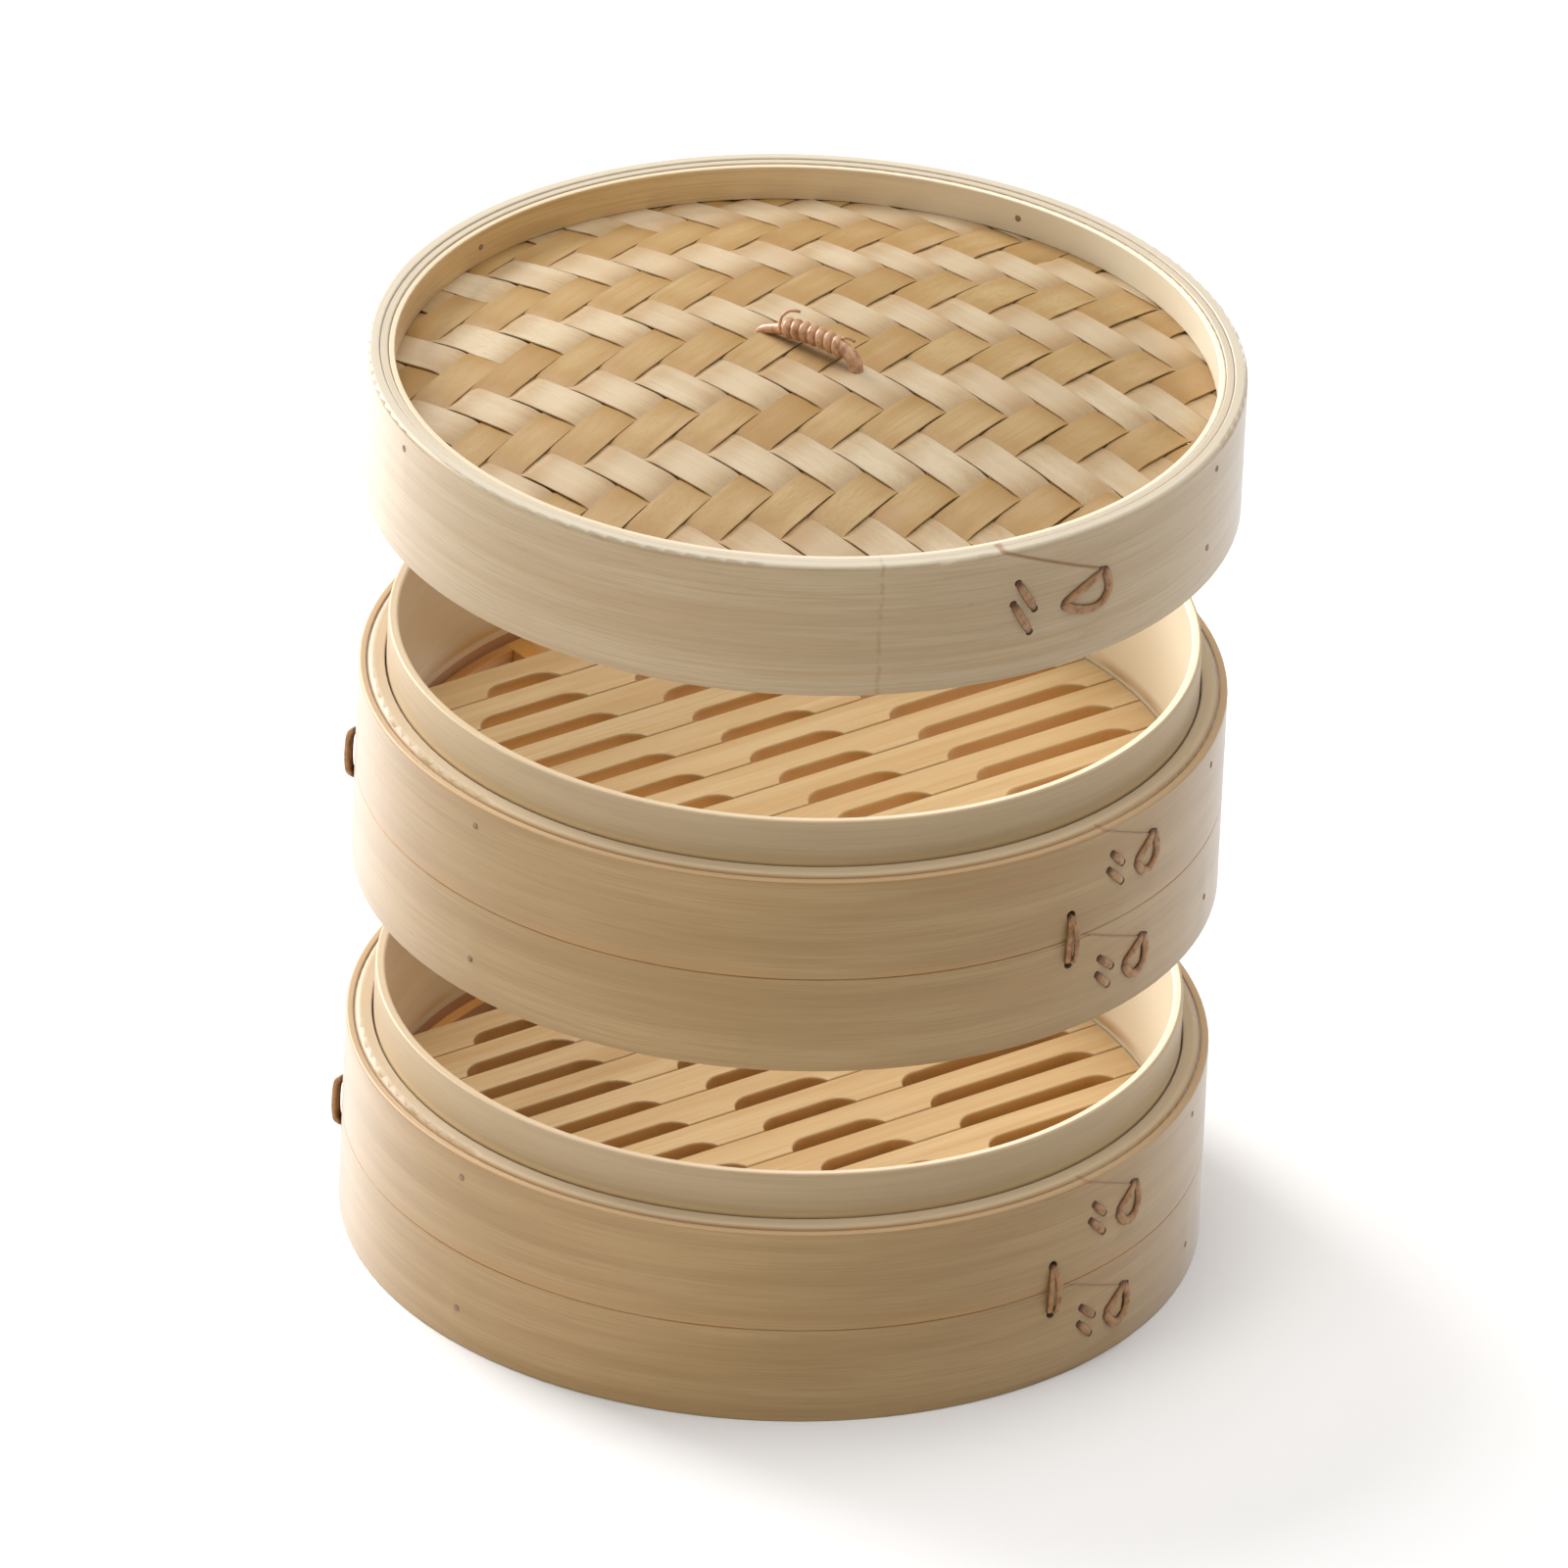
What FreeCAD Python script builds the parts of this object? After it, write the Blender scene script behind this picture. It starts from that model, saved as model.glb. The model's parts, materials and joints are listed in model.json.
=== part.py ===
"""Two-tier bamboo steamer with a woven lid, standing with its tiers lifted apart.

Each tier and the lid are built in their own frame, with the foot at z = 0 and the front at -Y, and are then
lifted to their place. Azimuths run from the front towards +X, in degrees. Lengths are in millimetres.
"""
import FreeCAD, Part
import math
import os

Vector = FreeCAD.Vector
UP = Vector(0, 0, 1)

# Tier walls: two bands one above the other, a middle hoop behind them and an inner hoop that stands up as a lip
TIER_RADIUS = 127.0
BAND_WALL = 2.3
TOP_BAND_HEIGHT = 32.0
BOTTOM_BAND_HEIGHT = 30.3
BAND_SEAM_GAP = 0.2
BAND_EDGE_ROUND = 0.9
MIDDLE_HOOP_WALL = 5.3
SHOULDER_STEP = 1.0
SHOULDER_ROUND = 2.4
INNER_HOOP_WALL = 3.0
LIP_HEIGHT = 14.4
LIP_ROUND = 0.9
SEAT_CLEARANCE = 0.5
LIP_HEADROOM = 1.0
LAYER_CLEARANCE = 0.1
LAYER_ROUND = 0.5

# Tier floor: notched slats on two battens and a ledge hoop
FLOOR_DEPTH = 48.9
SLAT_COUNT = 14
SLAT_THICKNESS = 5.0
SLAT_GAP = 0.5
SLAT_EDGE_ROUND = 0.5
SLAT_BEARING = 37.0
SLAT_END_CLEARANCE = 0.5
FAR_SIDE_GAP = 19.0
NEAR_SIDE_GAP = 9.0
NOTCH_DEPTH = 5.2
NOTCH_END_RADIUS = 8.0
NOTCH_CENTRE_OFFSET = 10.6
MIDDLE_NOTCH_HALF = 16.8
BATTEN_ZONE = 16.8
OUTER_NOTCH_MARGIN = 20.5
SHORTEST_NOTCH = 18.0
BATTEN_WIDTH = 12.0
BATTEN_THICKNESS = 4.5
LEDGE_WALL = 3.6
LEDGE_FOOT = 3.9

# Lid: outer and middle hoops, and two linings that grip the edge of a domed woven panel
LID_SEAT_CLEARANCE = 0.9
LID_HEIGHT = 41.8
LID_OUTER_WALL = 3.8
LID_MIDDLE_WALL = 2.4
LID_LINING_WALL = 1.9
LID_RIM_STEP = 0.3
LID_EDGE_ROUND = 1.4
PANEL_EDGE_DEPTH = 12.7
PANEL_RISE = 14.5
STRIP_PITCH = 13.6
STRIP_THICKNESS = 0.9
STRIP_GAP = 0.5
NARROWEST_STRIP = 3.0
LIGHT_STRIP_BEARING = -43.0
LIGHT_STRIP_SHIFT = -1.0
GOLDEN_STRIP_BEARING = 56.0
GOLDEN_STRIP_SHIFT = -3.2

# Handle: a rattan arch through the panel, bound with a thinner strand
HANDLE_SPAN = 36.0
HANDLE_BEARING = -38.5
HANDLE_HEIGHT = 7.4
HANDLE_RADIUS = 2.4
HANDLE_BEND = 6.5
HANDLE_TAIL = 2.2
WRAP_TURNS = 7
WRAP_PITCH = 2.9
WRAP_THICKNESS = 0.8
WRAP_WIDTH = 2.4
HOLE_CLEARANCE = 0.2

# Rattan lacing, seam ties and bamboo pegs
LACE_RADIUS = 1.0
LACE_BEND = 1.15
LACE_LIFT = 0.2
TIE_RADIUS = 1.4
TIE_BEND = 2.0
TIE_STAND_OFF = 2.0
TIE_REACH = 8.0
TIE_AZIMUTHS = (41.0, -89.0, 161.0)
PEG_RADIUS = 0.9
PEG_PROUD = 0.15
TIER_PEG_AZIMUTHS = (-45.0, 75.0, 195.0)
TOP_PEG_DROP = 8.0
BOTTOM_PEG_HEIGHT = 11.5
LID_TOP_PEG_AZIMUTHS = (-126.0, -64.0, 69.0, 150.0)
LID_BOTTOM_PEG_AZIMUTHS = (67.0, -170.0)
LID_TOP_PEG_DROP = 6.0
LID_BOTTOM_PEG_HEIGHT = 12.0

# Lapped ends: the strip's outer end thins to nothing under LAP_LENGTH degrees back from its tip
LAP_LENGTH = 32.0
LAP_STEP = 0.4
LAP_MARGIN = 1.2
TOP_LAP = {"tip": 57.0, "slant": 10.8, "tip_drop": 10.5, "tip_height": 9.0, "under_slant": 9.0}
BOTTOM_LAP = {"tip": 55.0, "slant": 11.5, "tip_drop": 10.5, "tip_height": 8.0, "under_slant": 9.0}
LID_LAP = {"tip": 44.0, "slant": 16.8, "tip_drop": 15.5, "tip_height": 12.0, "under_slant": 9.0}

# Lacing runs as (azimuth, height) pairs, heights measured down from the top of the band that they close
TOP_LACING = (
    ((48.1, -9.2), (50.2, -13.9)),
    ((47.5, -14.2), (50.2, -20.1)),
    ((56.2, -9.5), (52.9, -15.9), (55.3, -22.6), (57.5, -17.8), (57.3, -10.4)),
)
BOTTOM_LACING = (
    ((46.5, -10.3), (49.0, -15.0)),
    ((46.2, -15.6), (48.4, -20.6)),
    ((55.0, -10.3), (51.3, -16.3), (53.5, -23.2), (55.9, -18.0), (56.1, -11.2)),
)
LID_LACING = (
    ((29.6, -11.1), (32.2, -20.7)),
    ((29.0, -17.7), (31.6, -27.9)),
    ((42.6, -15.3), (36.4, -21.8), (42.0, -26.9), (44.0, -24.5), (43.7, -16.2)),
)

# Rest places: each lift is the open gap above the seat
UPPER_TIER_LIFT = 53.5
LID_LIFT = 60.9

# Sizes that follow from the ones above
TIER_HEIGHT = BOTTOM_BAND_HEIGHT + BAND_SEAM_GAP + TOP_BAND_HEIGHT + SHOULDER_STEP
BAND_INNER = TIER_RADIUS - BAND_WALL
MIDDLE_OUTER = BAND_INNER - LAYER_CLEARANCE
MIDDLE_INNER = MIDDLE_OUTER - MIDDLE_HOOP_WALL
LIP_RADIUS = MIDDLE_INNER - SEAT_CLEARANCE
INNER_RADIUS = LIP_RADIUS - INNER_HOOP_WALL
INNER_HOOP_FOOT = LIP_HEIGHT + LIP_HEADROOM
RIM_HEIGHT = TIER_HEIGHT + LIP_HEIGHT
FLOOR_TOP = RIM_HEIGHT - FLOOR_DEPTH
SLAT_BOTTOM = FLOOR_TOP - SLAT_THICKNESS
BATTEN_TOP = SLAT_BOTTOM - LAYER_CLEARANCE
SLAT_RADIUS = INNER_RADIUS - SLAT_END_CLEARANCE
LEDGE_OUTER = INNER_RADIUS - LAYER_CLEARANCE
SLAT_PITCH = (2 * INNER_RADIUS - FAR_SIDE_GAP - NEAR_SIDE_GAP) / SLAT_COUNT

LINING_INNER = LIP_RADIUS + LID_SEAT_CLEARANCE
LINING_OUTER = LINING_INNER + LID_LINING_WALL
LID_MIDDLE_INNER = LINING_OUTER + LAYER_CLEARANCE
LID_MIDDLE_OUTER = LID_MIDDLE_INNER + LID_MIDDLE_WALL
LID_OUTER_INNER = LID_MIDDLE_OUTER + LAYER_CLEARANCE
LID_RADIUS = LID_OUTER_INNER + LID_OUTER_WALL
PANEL_RADIUS = LINING_OUTER - LAYER_CLEARANCE
DOME_RADIUS = (PANEL_RADIUS ** 2 + PANEL_RISE ** 2) / (2 * PANEL_RISE)
PANEL_CROWN = LID_HEIGHT - PANEL_EDGE_DEPTH + PANEL_RISE
DOME_CENTRE = Vector(0, 0, PANEL_CROWN - DOME_RADIUS)

UPPER_TIER_Z = TIER_HEIGHT + UPPER_TIER_LIFT
LID_Z = UPPER_TIER_Z + TIER_HEIGHT + LID_LIFT


def outward(azimuth):
    """Level unit vector that points out of the wall at an azimuth."""
    angle = math.radians(azimuth)
    return Vector(math.sin(angle), -math.cos(angle), 0)


def wall_point(azimuth, z, radius):
    """Point at an azimuth, height and distance from the axis."""
    return outward(azimuth) * radius + UP * z


def hoop(inner, outer, bottom, top, inner_round, outer_round):
    """Bent strip closed into a ring, with its upper edges rounded."""
    corner = 1 - math.sqrt(0.5)
    outer_start = Vector(outer, 0, top - outer_round)
    outer_end = Vector(outer - outer_round, 0, top)
    outer_middle = Vector(outer - outer_round * corner, 0, top - outer_round * corner)
    inner_start = Vector(inner + inner_round, 0, top)
    inner_end = Vector(inner, 0, top - inner_round)
    inner_middle = Vector(inner + inner_round * corner, 0, top - inner_round * corner)
    edges = [
        Part.LineSegment(Vector(inner, 0, bottom), Vector(outer, 0, bottom)).toShape(),
        Part.LineSegment(Vector(outer, 0, bottom), outer_start).toShape(),
        Part.Arc(outer_start, outer_middle, outer_end).toShape(),
        Part.LineSegment(outer_end, inner_start).toShape(),
        Part.Arc(inner_start, inner_middle, inner_end).toShape(),
        Part.LineSegment(inner_end, Vector(inner, 0, bottom)).toShape(),
    ]
    return Part.Face(Part.Wire(edges)).revolve(Vector(0, 0, 0), UP, 360)


def drum(radius, bottom, top):
    """Solid disc on the axis."""
    return Part.makeCylinder(radius, top - bottom, UP * bottom)


def bore(azimuth, z, radius, from_radius, to_radius):
    """Round rod across the wall, used for pegs and for the holes that they and the strands fill."""
    start = wall_point(azimuth, z, from_radius)
    return Part.makeCylinder(radius, to_radius - from_radius, start, outward(azimuth))


def strand(points, radius, bend):
    """Round strand along straight runs joined by tangent arcs."""
    edges = []
    last = points[0]
    for before, corner, after in zip(points, points[1:], points[2:]):
        to_before = (before - corner).normalize()
        to_after = (after - corner).normalize()
        half = to_before.getAngle(to_after) / 2
        tangent = bend / math.tan(half)
        centre_way = (to_before + to_after).normalize()
        arc_start = corner + to_before * tangent
        arc_end = corner + to_after * tangent
        arc_middle = corner + centre_way * (bend / math.sin(half) - bend)
        edges.append(Part.LineSegment(last, arc_start).toShape())
        edges.append(Part.Arc(arc_start, arc_middle, arc_end).toShape())
        last = arc_end
    edges.append(Part.LineSegment(last, points[-1]).toShape())
    circle = Part.Circle(points[0], points[1] - points[0], radius).toShape()
    return Part.Wire(edges).makePipeShell([Part.Wire(circle)], True, False)


def lapped_end(radius, wall, bottom, top, lap):
    """Outer end of a strip that laps over itself: it thickens towards its trimmed tip."""
    tip = lap["tip"]
    start = tip - LAP_LENGTH
    middle = tip - LAP_LENGTH / 2
    shift = LAP_STEP / math.sin(math.radians(LAP_LENGTH))
    skin = Part.makeCylinder(radius, top - bottom - 2 * LAP_MARGIN, UP * (bottom + LAP_MARGIN))
    skin.translate(outward(start + 90) * shift)
    skin = skin.cut(drum(radius - wall / 2, bottom, top))

    def corner(azimuth, z):
        across = radius * math.sin(math.radians(azimuth - middle))
        return outward(middle + 90) * across + outward(middle) * (radius / 2) + UP * z

    tip_top = top - lap["tip_drop"]
    tip_bottom = tip_top - lap["tip_height"]
    outline = [
        corner(start, bottom),
        corner(start, top),
        corner(tip - lap["slant"], top),
        corner(tip, tip_top),
        corner(tip, tip_bottom),
        corner(tip - lap["under_slant"], bottom),
    ]
    face = Part.Face(Part.makePolygon(outline + outline[:1]))
    return skin.common(face.extrude(outward(middle) * radius))


def lacing_path(run, top, radius, wall):
    """Points of one stitch: in through the wall, along the outside and back in."""
    outside = radius + LAP_STEP + LACE_RADIUS + LACE_LIFT
    inside = radius - wall + LAYER_CLEARANCE
    over = [wall_point(azimuth, top + drop, outside) for azimuth, drop in run]
    first, last = run[0], run[-1]
    return [
        wall_point(first[0], top + first[1], inside),
        *over,
        wall_point(last[0], top + last[1], inside),
    ]


def lacing(runs, top, radius, wall):
    """Stitches that close a lapped end, each a separate strand."""
    return [strand(lacing_path(run, top, radius, wall), LACE_RADIUS, LACE_BEND) for run in runs]


def lacing_holes(runs, top, radius, wall):
    """Holes that the ends of the stitches fill."""
    ends = [end for run in runs for end in (run[0], run[-1])]
    hole = LACE_RADIUS + HOLE_CLEARANCE
    return [bore(azimuth, top + drop, hole, radius - wall - 1, radius + 2) for azimuth, drop in ends]


def cut_all(shape, tools):
    """Shape less each of the tools."""
    for tool in tools:
        shape = shape.cut(tool)
    return shape


def laced_band(ring, end, holes):
    """Outer strip with its lapped end and every hole through it."""
    return cut_all(ring.fuse(end).removeSplitter(), holes)


def seam_height():
    """Height of the seam between the two bands of a tier."""
    return BOTTOM_BAND_HEIGHT + BAND_SEAM_GAP / 2


def seam_tie(azimuth):
    """Rattan loop that ties the top band to the bottom band."""
    inside = BAND_INNER + LAYER_CLEARANCE
    outside = TIER_RADIUS + TIE_STAND_OFF
    low = seam_height() - TIE_REACH
    high = seam_height() + TIE_REACH
    return strand(
        [
            wall_point(azimuth, low, inside),
            wall_point(azimuth, low, outside),
            wall_point(azimuth, high, outside),
            wall_point(azimuth, high, inside),
        ],
        TIE_RADIUS,
        TIE_BEND,
    )


def tie_holes():
    """Holes through the bands for the seam ties."""
    hole = TIE_RADIUS + HOLE_CLEARANCE
    heights = (seam_height() - TIE_REACH, seam_height() + TIE_REACH)
    inner = BAND_INNER - 1
    return [bore(azimuth, z, hole, inner, TIER_RADIUS + 2) for azimuth in TIE_AZIMUTHS for z in heights]


def tier_pegs(radius, grow):
    """Pegs of a tier: the top row holds three layers, the bottom row two."""
    top_z = TIER_HEIGHT - TOP_PEG_DROP
    outer = TIER_RADIUS + grow
    pegs = []
    for azimuth in TIER_PEG_AZIMUTHS:
        pegs.append(bore(azimuth, top_z, radius, INNER_RADIUS - grow, outer))
        pegs.append(bore(azimuth, BOTTOM_PEG_HEIGHT, radius, MIDDLE_INNER - grow, outer))
    return pegs


def lid_pegs(radius, grow):
    """Pegs of the lid: one row through each lining."""
    rows = (
        (LID_HEIGHT - LID_TOP_PEG_DROP, LID_TOP_PEG_AZIMUTHS),
        (LID_BOTTOM_PEG_HEIGHT, LID_BOTTOM_PEG_AZIMUTHS),
    )
    inner = LINING_INNER - grow
    outer = LID_RADIUS + grow
    return [bore(azimuth, z, radius, inner, outer) for z, azimuths in rows for azimuth in azimuths]


def slat_frame(shape):
    """Turn a shape from slat coordinates, with slats along +X, to their bearing."""
    shape.rotate(Vector(0, 0, 0), UP, SLAT_BEARING)
    return shape


def notch(start, end, edge):
    """Cutter for one notch in a slat's near edge, with curved ends."""
    rise = math.sqrt(NOTCH_END_RADIUS ** 2 - (NOTCH_END_RADIUS - NOTCH_DEPTH) ** 2)
    deep = edge + NOTCH_DEPTH
    half_turn = math.asin(rise / NOTCH_END_RADIUS) / 2
    along = NOTCH_END_RADIUS * math.sin(half_turn)
    down = NOTCH_END_RADIUS * (1 - math.cos(half_turn))
    outside = edge - NOTCH_DEPTH
    corners = [Vector(start, edge, 0), Vector(start + rise, deep, 0), Vector(end - rise, deep, 0)]
    far_corner = Vector(end, edge, 0)
    outline = [
        Part.Arc(corners[0], Vector(start + rise - along, deep - down, 0), corners[1]).toShape(),
        Part.LineSegment(corners[1], corners[2]).toShape(),
        Part.Arc(corners[2], Vector(end - rise + along, deep - down, 0), far_corner).toShape(),
        Part.LineSegment(far_corner, Vector(end, outside, 0)).toShape(),
        Part.LineSegment(Vector(end, outside, 0), Vector(start, outside, 0)).toShape(),
        Part.LineSegment(Vector(start, outside, 0), corners[0]).toShape(),
    ]
    cutter = Part.Face(Part.Wire(outline)).extrude(UP * (SLAT_THICKNESS + 2))
    cutter.translate(UP * (SLAT_BOTTOM - 1))
    return cutter


def notch_spans(edge):
    """Start and end of each notch along a slat whose near edge is this far from the axis."""
    half_chord = math.sqrt(max(SLAT_RADIUS ** 2 - edge ** 2, 0))
    inner_end = MIDDLE_NOTCH_HALF + BATTEN_ZONE
    reach = half_chord - OUTER_NOTCH_MARGIN
    centre = NOTCH_CENTRE_OFFSET
    spans = []
    if half_chord - abs(centre) > MIDDLE_NOTCH_HALF + BATTEN_ZONE / 2:
        spans.append((centre - MIDDLE_NOTCH_HALF, centre + MIDDLE_NOTCH_HALF))
    if reach - inner_end > SHORTEST_NOTCH:
        spans.append((centre - reach, centre - inner_end))
        spans.append((centre + inner_end, centre + reach))
    return spans


def slat(index):
    """One floor slat, counted from the far side, with notches along its near edge."""
    far_edge = INNER_RADIUS - FAR_SIDE_GAP - index * SLAT_PITCH
    near_edge = far_edge - SLAT_PITCH + SLAT_GAP
    length = 2 * SLAT_RADIUS
    board = Part.makeBox(
        length, far_edge - near_edge, SLAT_THICKNESS, Vector(-length / 2, near_edge, SLAT_BOTTOM)
    )
    board = board.common(drum(SLAT_RADIUS, SLAT_BOTTOM - 1, FLOOR_TOP + 1))
    if index < SLAT_COUNT - 1:
        board = cut_all(board, [notch(start, end, near_edge) for start, end in notch_spans(near_edge)])
    top_edges = [
        edge for edge in board.Edges if all(abs(v.Z - FLOOR_TOP) < 1e-6 for v in edge.Vertexes)
    ]
    board = board.makeFillet(SLAT_EDGE_ROUND, top_edges)
    return slat_frame(board)


def batten(side, radius, clearance):
    """Cross batten under the unnotched part of the slats, on one side of the middle notches."""
    place = NOTCH_CENTRE_OFFSET + side * (MIDDLE_NOTCH_HALF + BATTEN_ZONE / 2)
    width = BATTEN_WIDTH + 2 * clearance
    bottom = BATTEN_TOP - BATTEN_THICKNESS - clearance
    height = BATTEN_THICKNESS + 2 * clearance
    bar = Part.makeBox(width, 2 * radius, height, Vector(place - width / 2, -radius, bottom))
    return slat_frame(bar.common(drum(radius, bottom - 1, BATTEN_TOP + 1)))


def floor_ledge():
    """Hoop that carries the ends of the slats, notched for the battens."""
    foot = BATTEN_TOP - BATTEN_THICKNESS - LEDGE_FOOT
    ring = drum(LEDGE_OUTER, foot, BATTEN_TOP).cut(drum(LEDGE_OUTER - LEDGE_WALL, foot, BATTEN_TOP))
    return cut_all(ring, [batten(side, LEDGE_OUTER + 1, LAYER_CLEARANCE) for side in (-1, 1)])


def tier(prefix):
    """Every piece of one basket tier, by node name."""
    top_band_foot = BOTTOM_BAND_HEIGHT + BAND_SEAM_GAP
    top_band_top = top_band_foot + TOP_BAND_HEIGHT
    peg_holes = tier_pegs(PEG_RADIUS + LAYER_CLEARANCE, 1)
    wall_holes = tie_holes() + peg_holes
    pieces = {
        "inner_hoop": cut_all(
            hoop(INNER_RADIUS, LIP_RADIUS, INNER_HOOP_FOOT, RIM_HEIGHT, LIP_ROUND, LIP_ROUND), peg_holes
        ),
        "middle_hoop": cut_all(
            hoop(MIDDLE_INNER, MIDDLE_OUTER, 0, TIER_HEIGHT, LAYER_ROUND, SHOULDER_ROUND), peg_holes
        ),
        "top_band": laced_band(
            hoop(BAND_INNER, TIER_RADIUS, top_band_foot, top_band_top, LAYER_ROUND, BAND_EDGE_ROUND),
            lapped_end(TIER_RADIUS, BAND_WALL, top_band_foot, top_band_top, TOP_LAP),
            lacing_holes(TOP_LACING, top_band_top, TIER_RADIUS, BAND_WALL) + wall_holes,
        ),
        "bottom_band": laced_band(
            hoop(BAND_INNER, TIER_RADIUS, 0, BOTTOM_BAND_HEIGHT, LAYER_ROUND, LAYER_ROUND),
            lapped_end(TIER_RADIUS, BAND_WALL, 0, BOTTOM_BAND_HEIGHT, BOTTOM_LAP),
            lacing_holes(BOTTOM_LACING, BOTTOM_BAND_HEIGHT, TIER_RADIUS, BAND_WALL) + wall_holes,
        ),
        "floor_ledge": floor_ledge(),
        "batten_left": batten(-1, LEDGE_OUTER, 0),
        "batten_right": batten(1, LEDGE_OUTER, 0),
        "top_lacing": Part.makeCompound(lacing(TOP_LACING, top_band_top, TIER_RADIUS, BAND_WALL)),
        "bottom_lacing": Part.makeCompound(lacing(BOTTOM_LACING, BOTTOM_BAND_HEIGHT, TIER_RADIUS, BAND_WALL)),
        "seam_ties": Part.makeCompound([seam_tie(azimuth) for azimuth in TIE_AZIMUTHS]),
        "pegs": Part.makeCompound(tier_pegs(PEG_RADIUS, PEG_PROUD)),
    }
    for index in range(SLAT_COUNT):
        pieces[f"slat_{index + 1:02d}"] = slat(index)
    return {f"{prefix}_{name}": shape for name, shape in pieces.items()}


def dome_height(radius, offset):
    """Height, at a distance from the axis, of the sphere this far outside the panel's middle surface."""
    return DOME_CENTRE.z + math.sqrt((DOME_RADIUS + offset) ** 2 - radius ** 2)


def dome_layer(low, high):
    """Domed disc between two spheres about the same centre."""
    outer, inner = (Part.makeSphere(DOME_RADIUS + offset, DOME_CENTRE) for offset in (high, low))
    shell = outer.cut(inner)
    shell.rotate(DOME_CENTRE, Vector(0, 1, 0), 90)
    floor = dome_height(PANEL_RADIUS, low) - 1
    return shell.common(drum(PANEL_RADIUS, floor, PANEL_CROWN + 5))


def panel_strips(bearing, shift, low, high):
    """Parallel strips of the woven panel, all in one layer, the middle one this far left of the axis."""
    layer = cut_all(dome_layer(low, high), handle_holes())
    width = STRIP_PITCH - STRIP_GAP
    reach = PANEL_RADIUS + width / 2 - NARROWEST_STRIP
    strips = []
    for index in range(math.ceil((-reach - shift) / STRIP_PITCH), math.floor((reach - shift) / STRIP_PITCH) + 1):
        corner = Vector(-LID_RADIUS, shift + index * STRIP_PITCH - width / 2, 0)
        lath = Part.makeBox(2 * LID_RADIUS, width, LID_HEIGHT + PANEL_RISE, corner)
        lath.rotate(Vector(0, 0, 0), UP, bearing)
        strips.extend(layer.common(lath).Solids)
    return strips


def handle_frame(shape):
    """Turn and lift a shape from handle coordinates, with the span along +X and the panel's crown at z = 0."""
    shape.rotate(Vector(0, 0, 0), UP, HANDLE_BEARING)
    shape.translate(UP * PANEL_CROWN)
    return shape


def handle_core():
    """Rattan arch whose two ends pass down through the panel."""
    half = HANDLE_SPAN / 2
    points = [Vector(-half, 0, -HANDLE_TAIL), Vector(-half, 0, HANDLE_HEIGHT)]
    points += [Vector(half, 0, HANDLE_HEIGHT), Vector(half, 0, -HANDLE_TAIL)]
    return handle_frame(strand(points, HANDLE_RADIUS, HANDLE_BEND))


def handle_wrap():
    """Turns of thin rattan round the top of the arch."""
    inner = HANDLE_RADIUS + LAYER_CLEARANCE
    turns = []
    for index in range(WRAP_TURNS):
        place = (index - (WRAP_TURNS - 1) / 2) * WRAP_PITCH - WRAP_WIDTH / 2
        start = Vector(place, 0, HANDLE_HEIGHT)
        along = Vector(1, 0, 0)
        turn = Part.makeCylinder(inner + WRAP_THICKNESS, WRAP_WIDTH, start, along)
        turns.append(handle_frame(turn.cut(Part.makeCylinder(inner, WRAP_WIDTH, start, along))))
    return turns


def handle_holes():
    """Holes in the panel for the two ends of the handle."""
    hole = HANDLE_RADIUS + HOLE_CLEARANCE
    half = HANDLE_SPAN / 2
    return [
        handle_frame(Part.makeCylinder(hole, 2 * PANEL_RISE, Vector(x, 0, -PANEL_RISE))) for x in (-half, half)
    ]


def lid():
    """Every piece of the lid, by node name."""
    peg_holes = lid_pegs(PEG_RADIUS + LAYER_CLEARANCE, 1)
    gap = LAYER_CLEARANCE / 2
    high = gap + STRIP_THICKNESS
    grip_top = dome_height(LINING_INNER, high) + LAYER_CLEARANCE
    grip_bottom = dome_height(PANEL_RADIUS, -high) - LAYER_CLEARANCE
    lining_top = LID_HEIGHT - 2 * LID_RIM_STEP
    middle_top = LID_HEIGHT - LID_RIM_STEP
    upper_lining = hoop(LINING_INNER, LINING_OUTER, grip_top, lining_top, LAYER_ROUND, LAYER_ROUND)
    lower_lining = hoop(LINING_INNER, LINING_OUTER, 0, grip_bottom, LAYER_ROUND, LAYER_ROUND)
    middle_hoop = hoop(LID_MIDDLE_INNER, LID_MIDDLE_OUTER, 0, middle_top, LAYER_ROUND, LAYER_ROUND)
    return {
        "lid_outer_hoop": laced_band(
            hoop(LID_OUTER_INNER, LID_RADIUS, 0, LID_HEIGHT, LAYER_ROUND, LID_EDGE_ROUND),
            lapped_end(LID_RADIUS, LID_OUTER_WALL, 0, LID_HEIGHT, LID_LAP),
            lacing_holes(LID_LACING, LID_HEIGHT, LID_RADIUS, LID_OUTER_WALL) + peg_holes,
        ),
        "lid_middle_hoop": cut_all(middle_hoop, peg_holes),
        "lid_upper_lining": cut_all(upper_lining, peg_holes),
        "lid_lower_lining": cut_all(lower_lining, peg_holes),
        "lid_light_strips": Part.makeCompound(
            panel_strips(LIGHT_STRIP_BEARING, LIGHT_STRIP_SHIFT, gap, high)
        ),
        "lid_golden_strips": Part.makeCompound(
            panel_strips(GOLDEN_STRIP_BEARING, GOLDEN_STRIP_SHIFT, -high, -gap)
        ),
        "lid_handle_core": handle_core(),
        "lid_handle_wrap": Part.makeCompound(handle_wrap()),
        "lid_lacing": Part.makeCompound(lacing(LID_LACING, LID_HEIGHT, LID_RADIUS, LID_OUTER_WALL)),
        "lid_pegs": Part.makeCompound(lid_pegs(PEG_RADIUS, PEG_PROUD)),
    }


def write(pieces, height):
    """Lift the pieces to their height and write one STEP file for each."""
    for name, shape in sorted(pieces.items()):
        placed = shape.copy()
        placed.translate(UP * height)
        placed.exportStep(f"parts/{name}.step")


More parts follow.
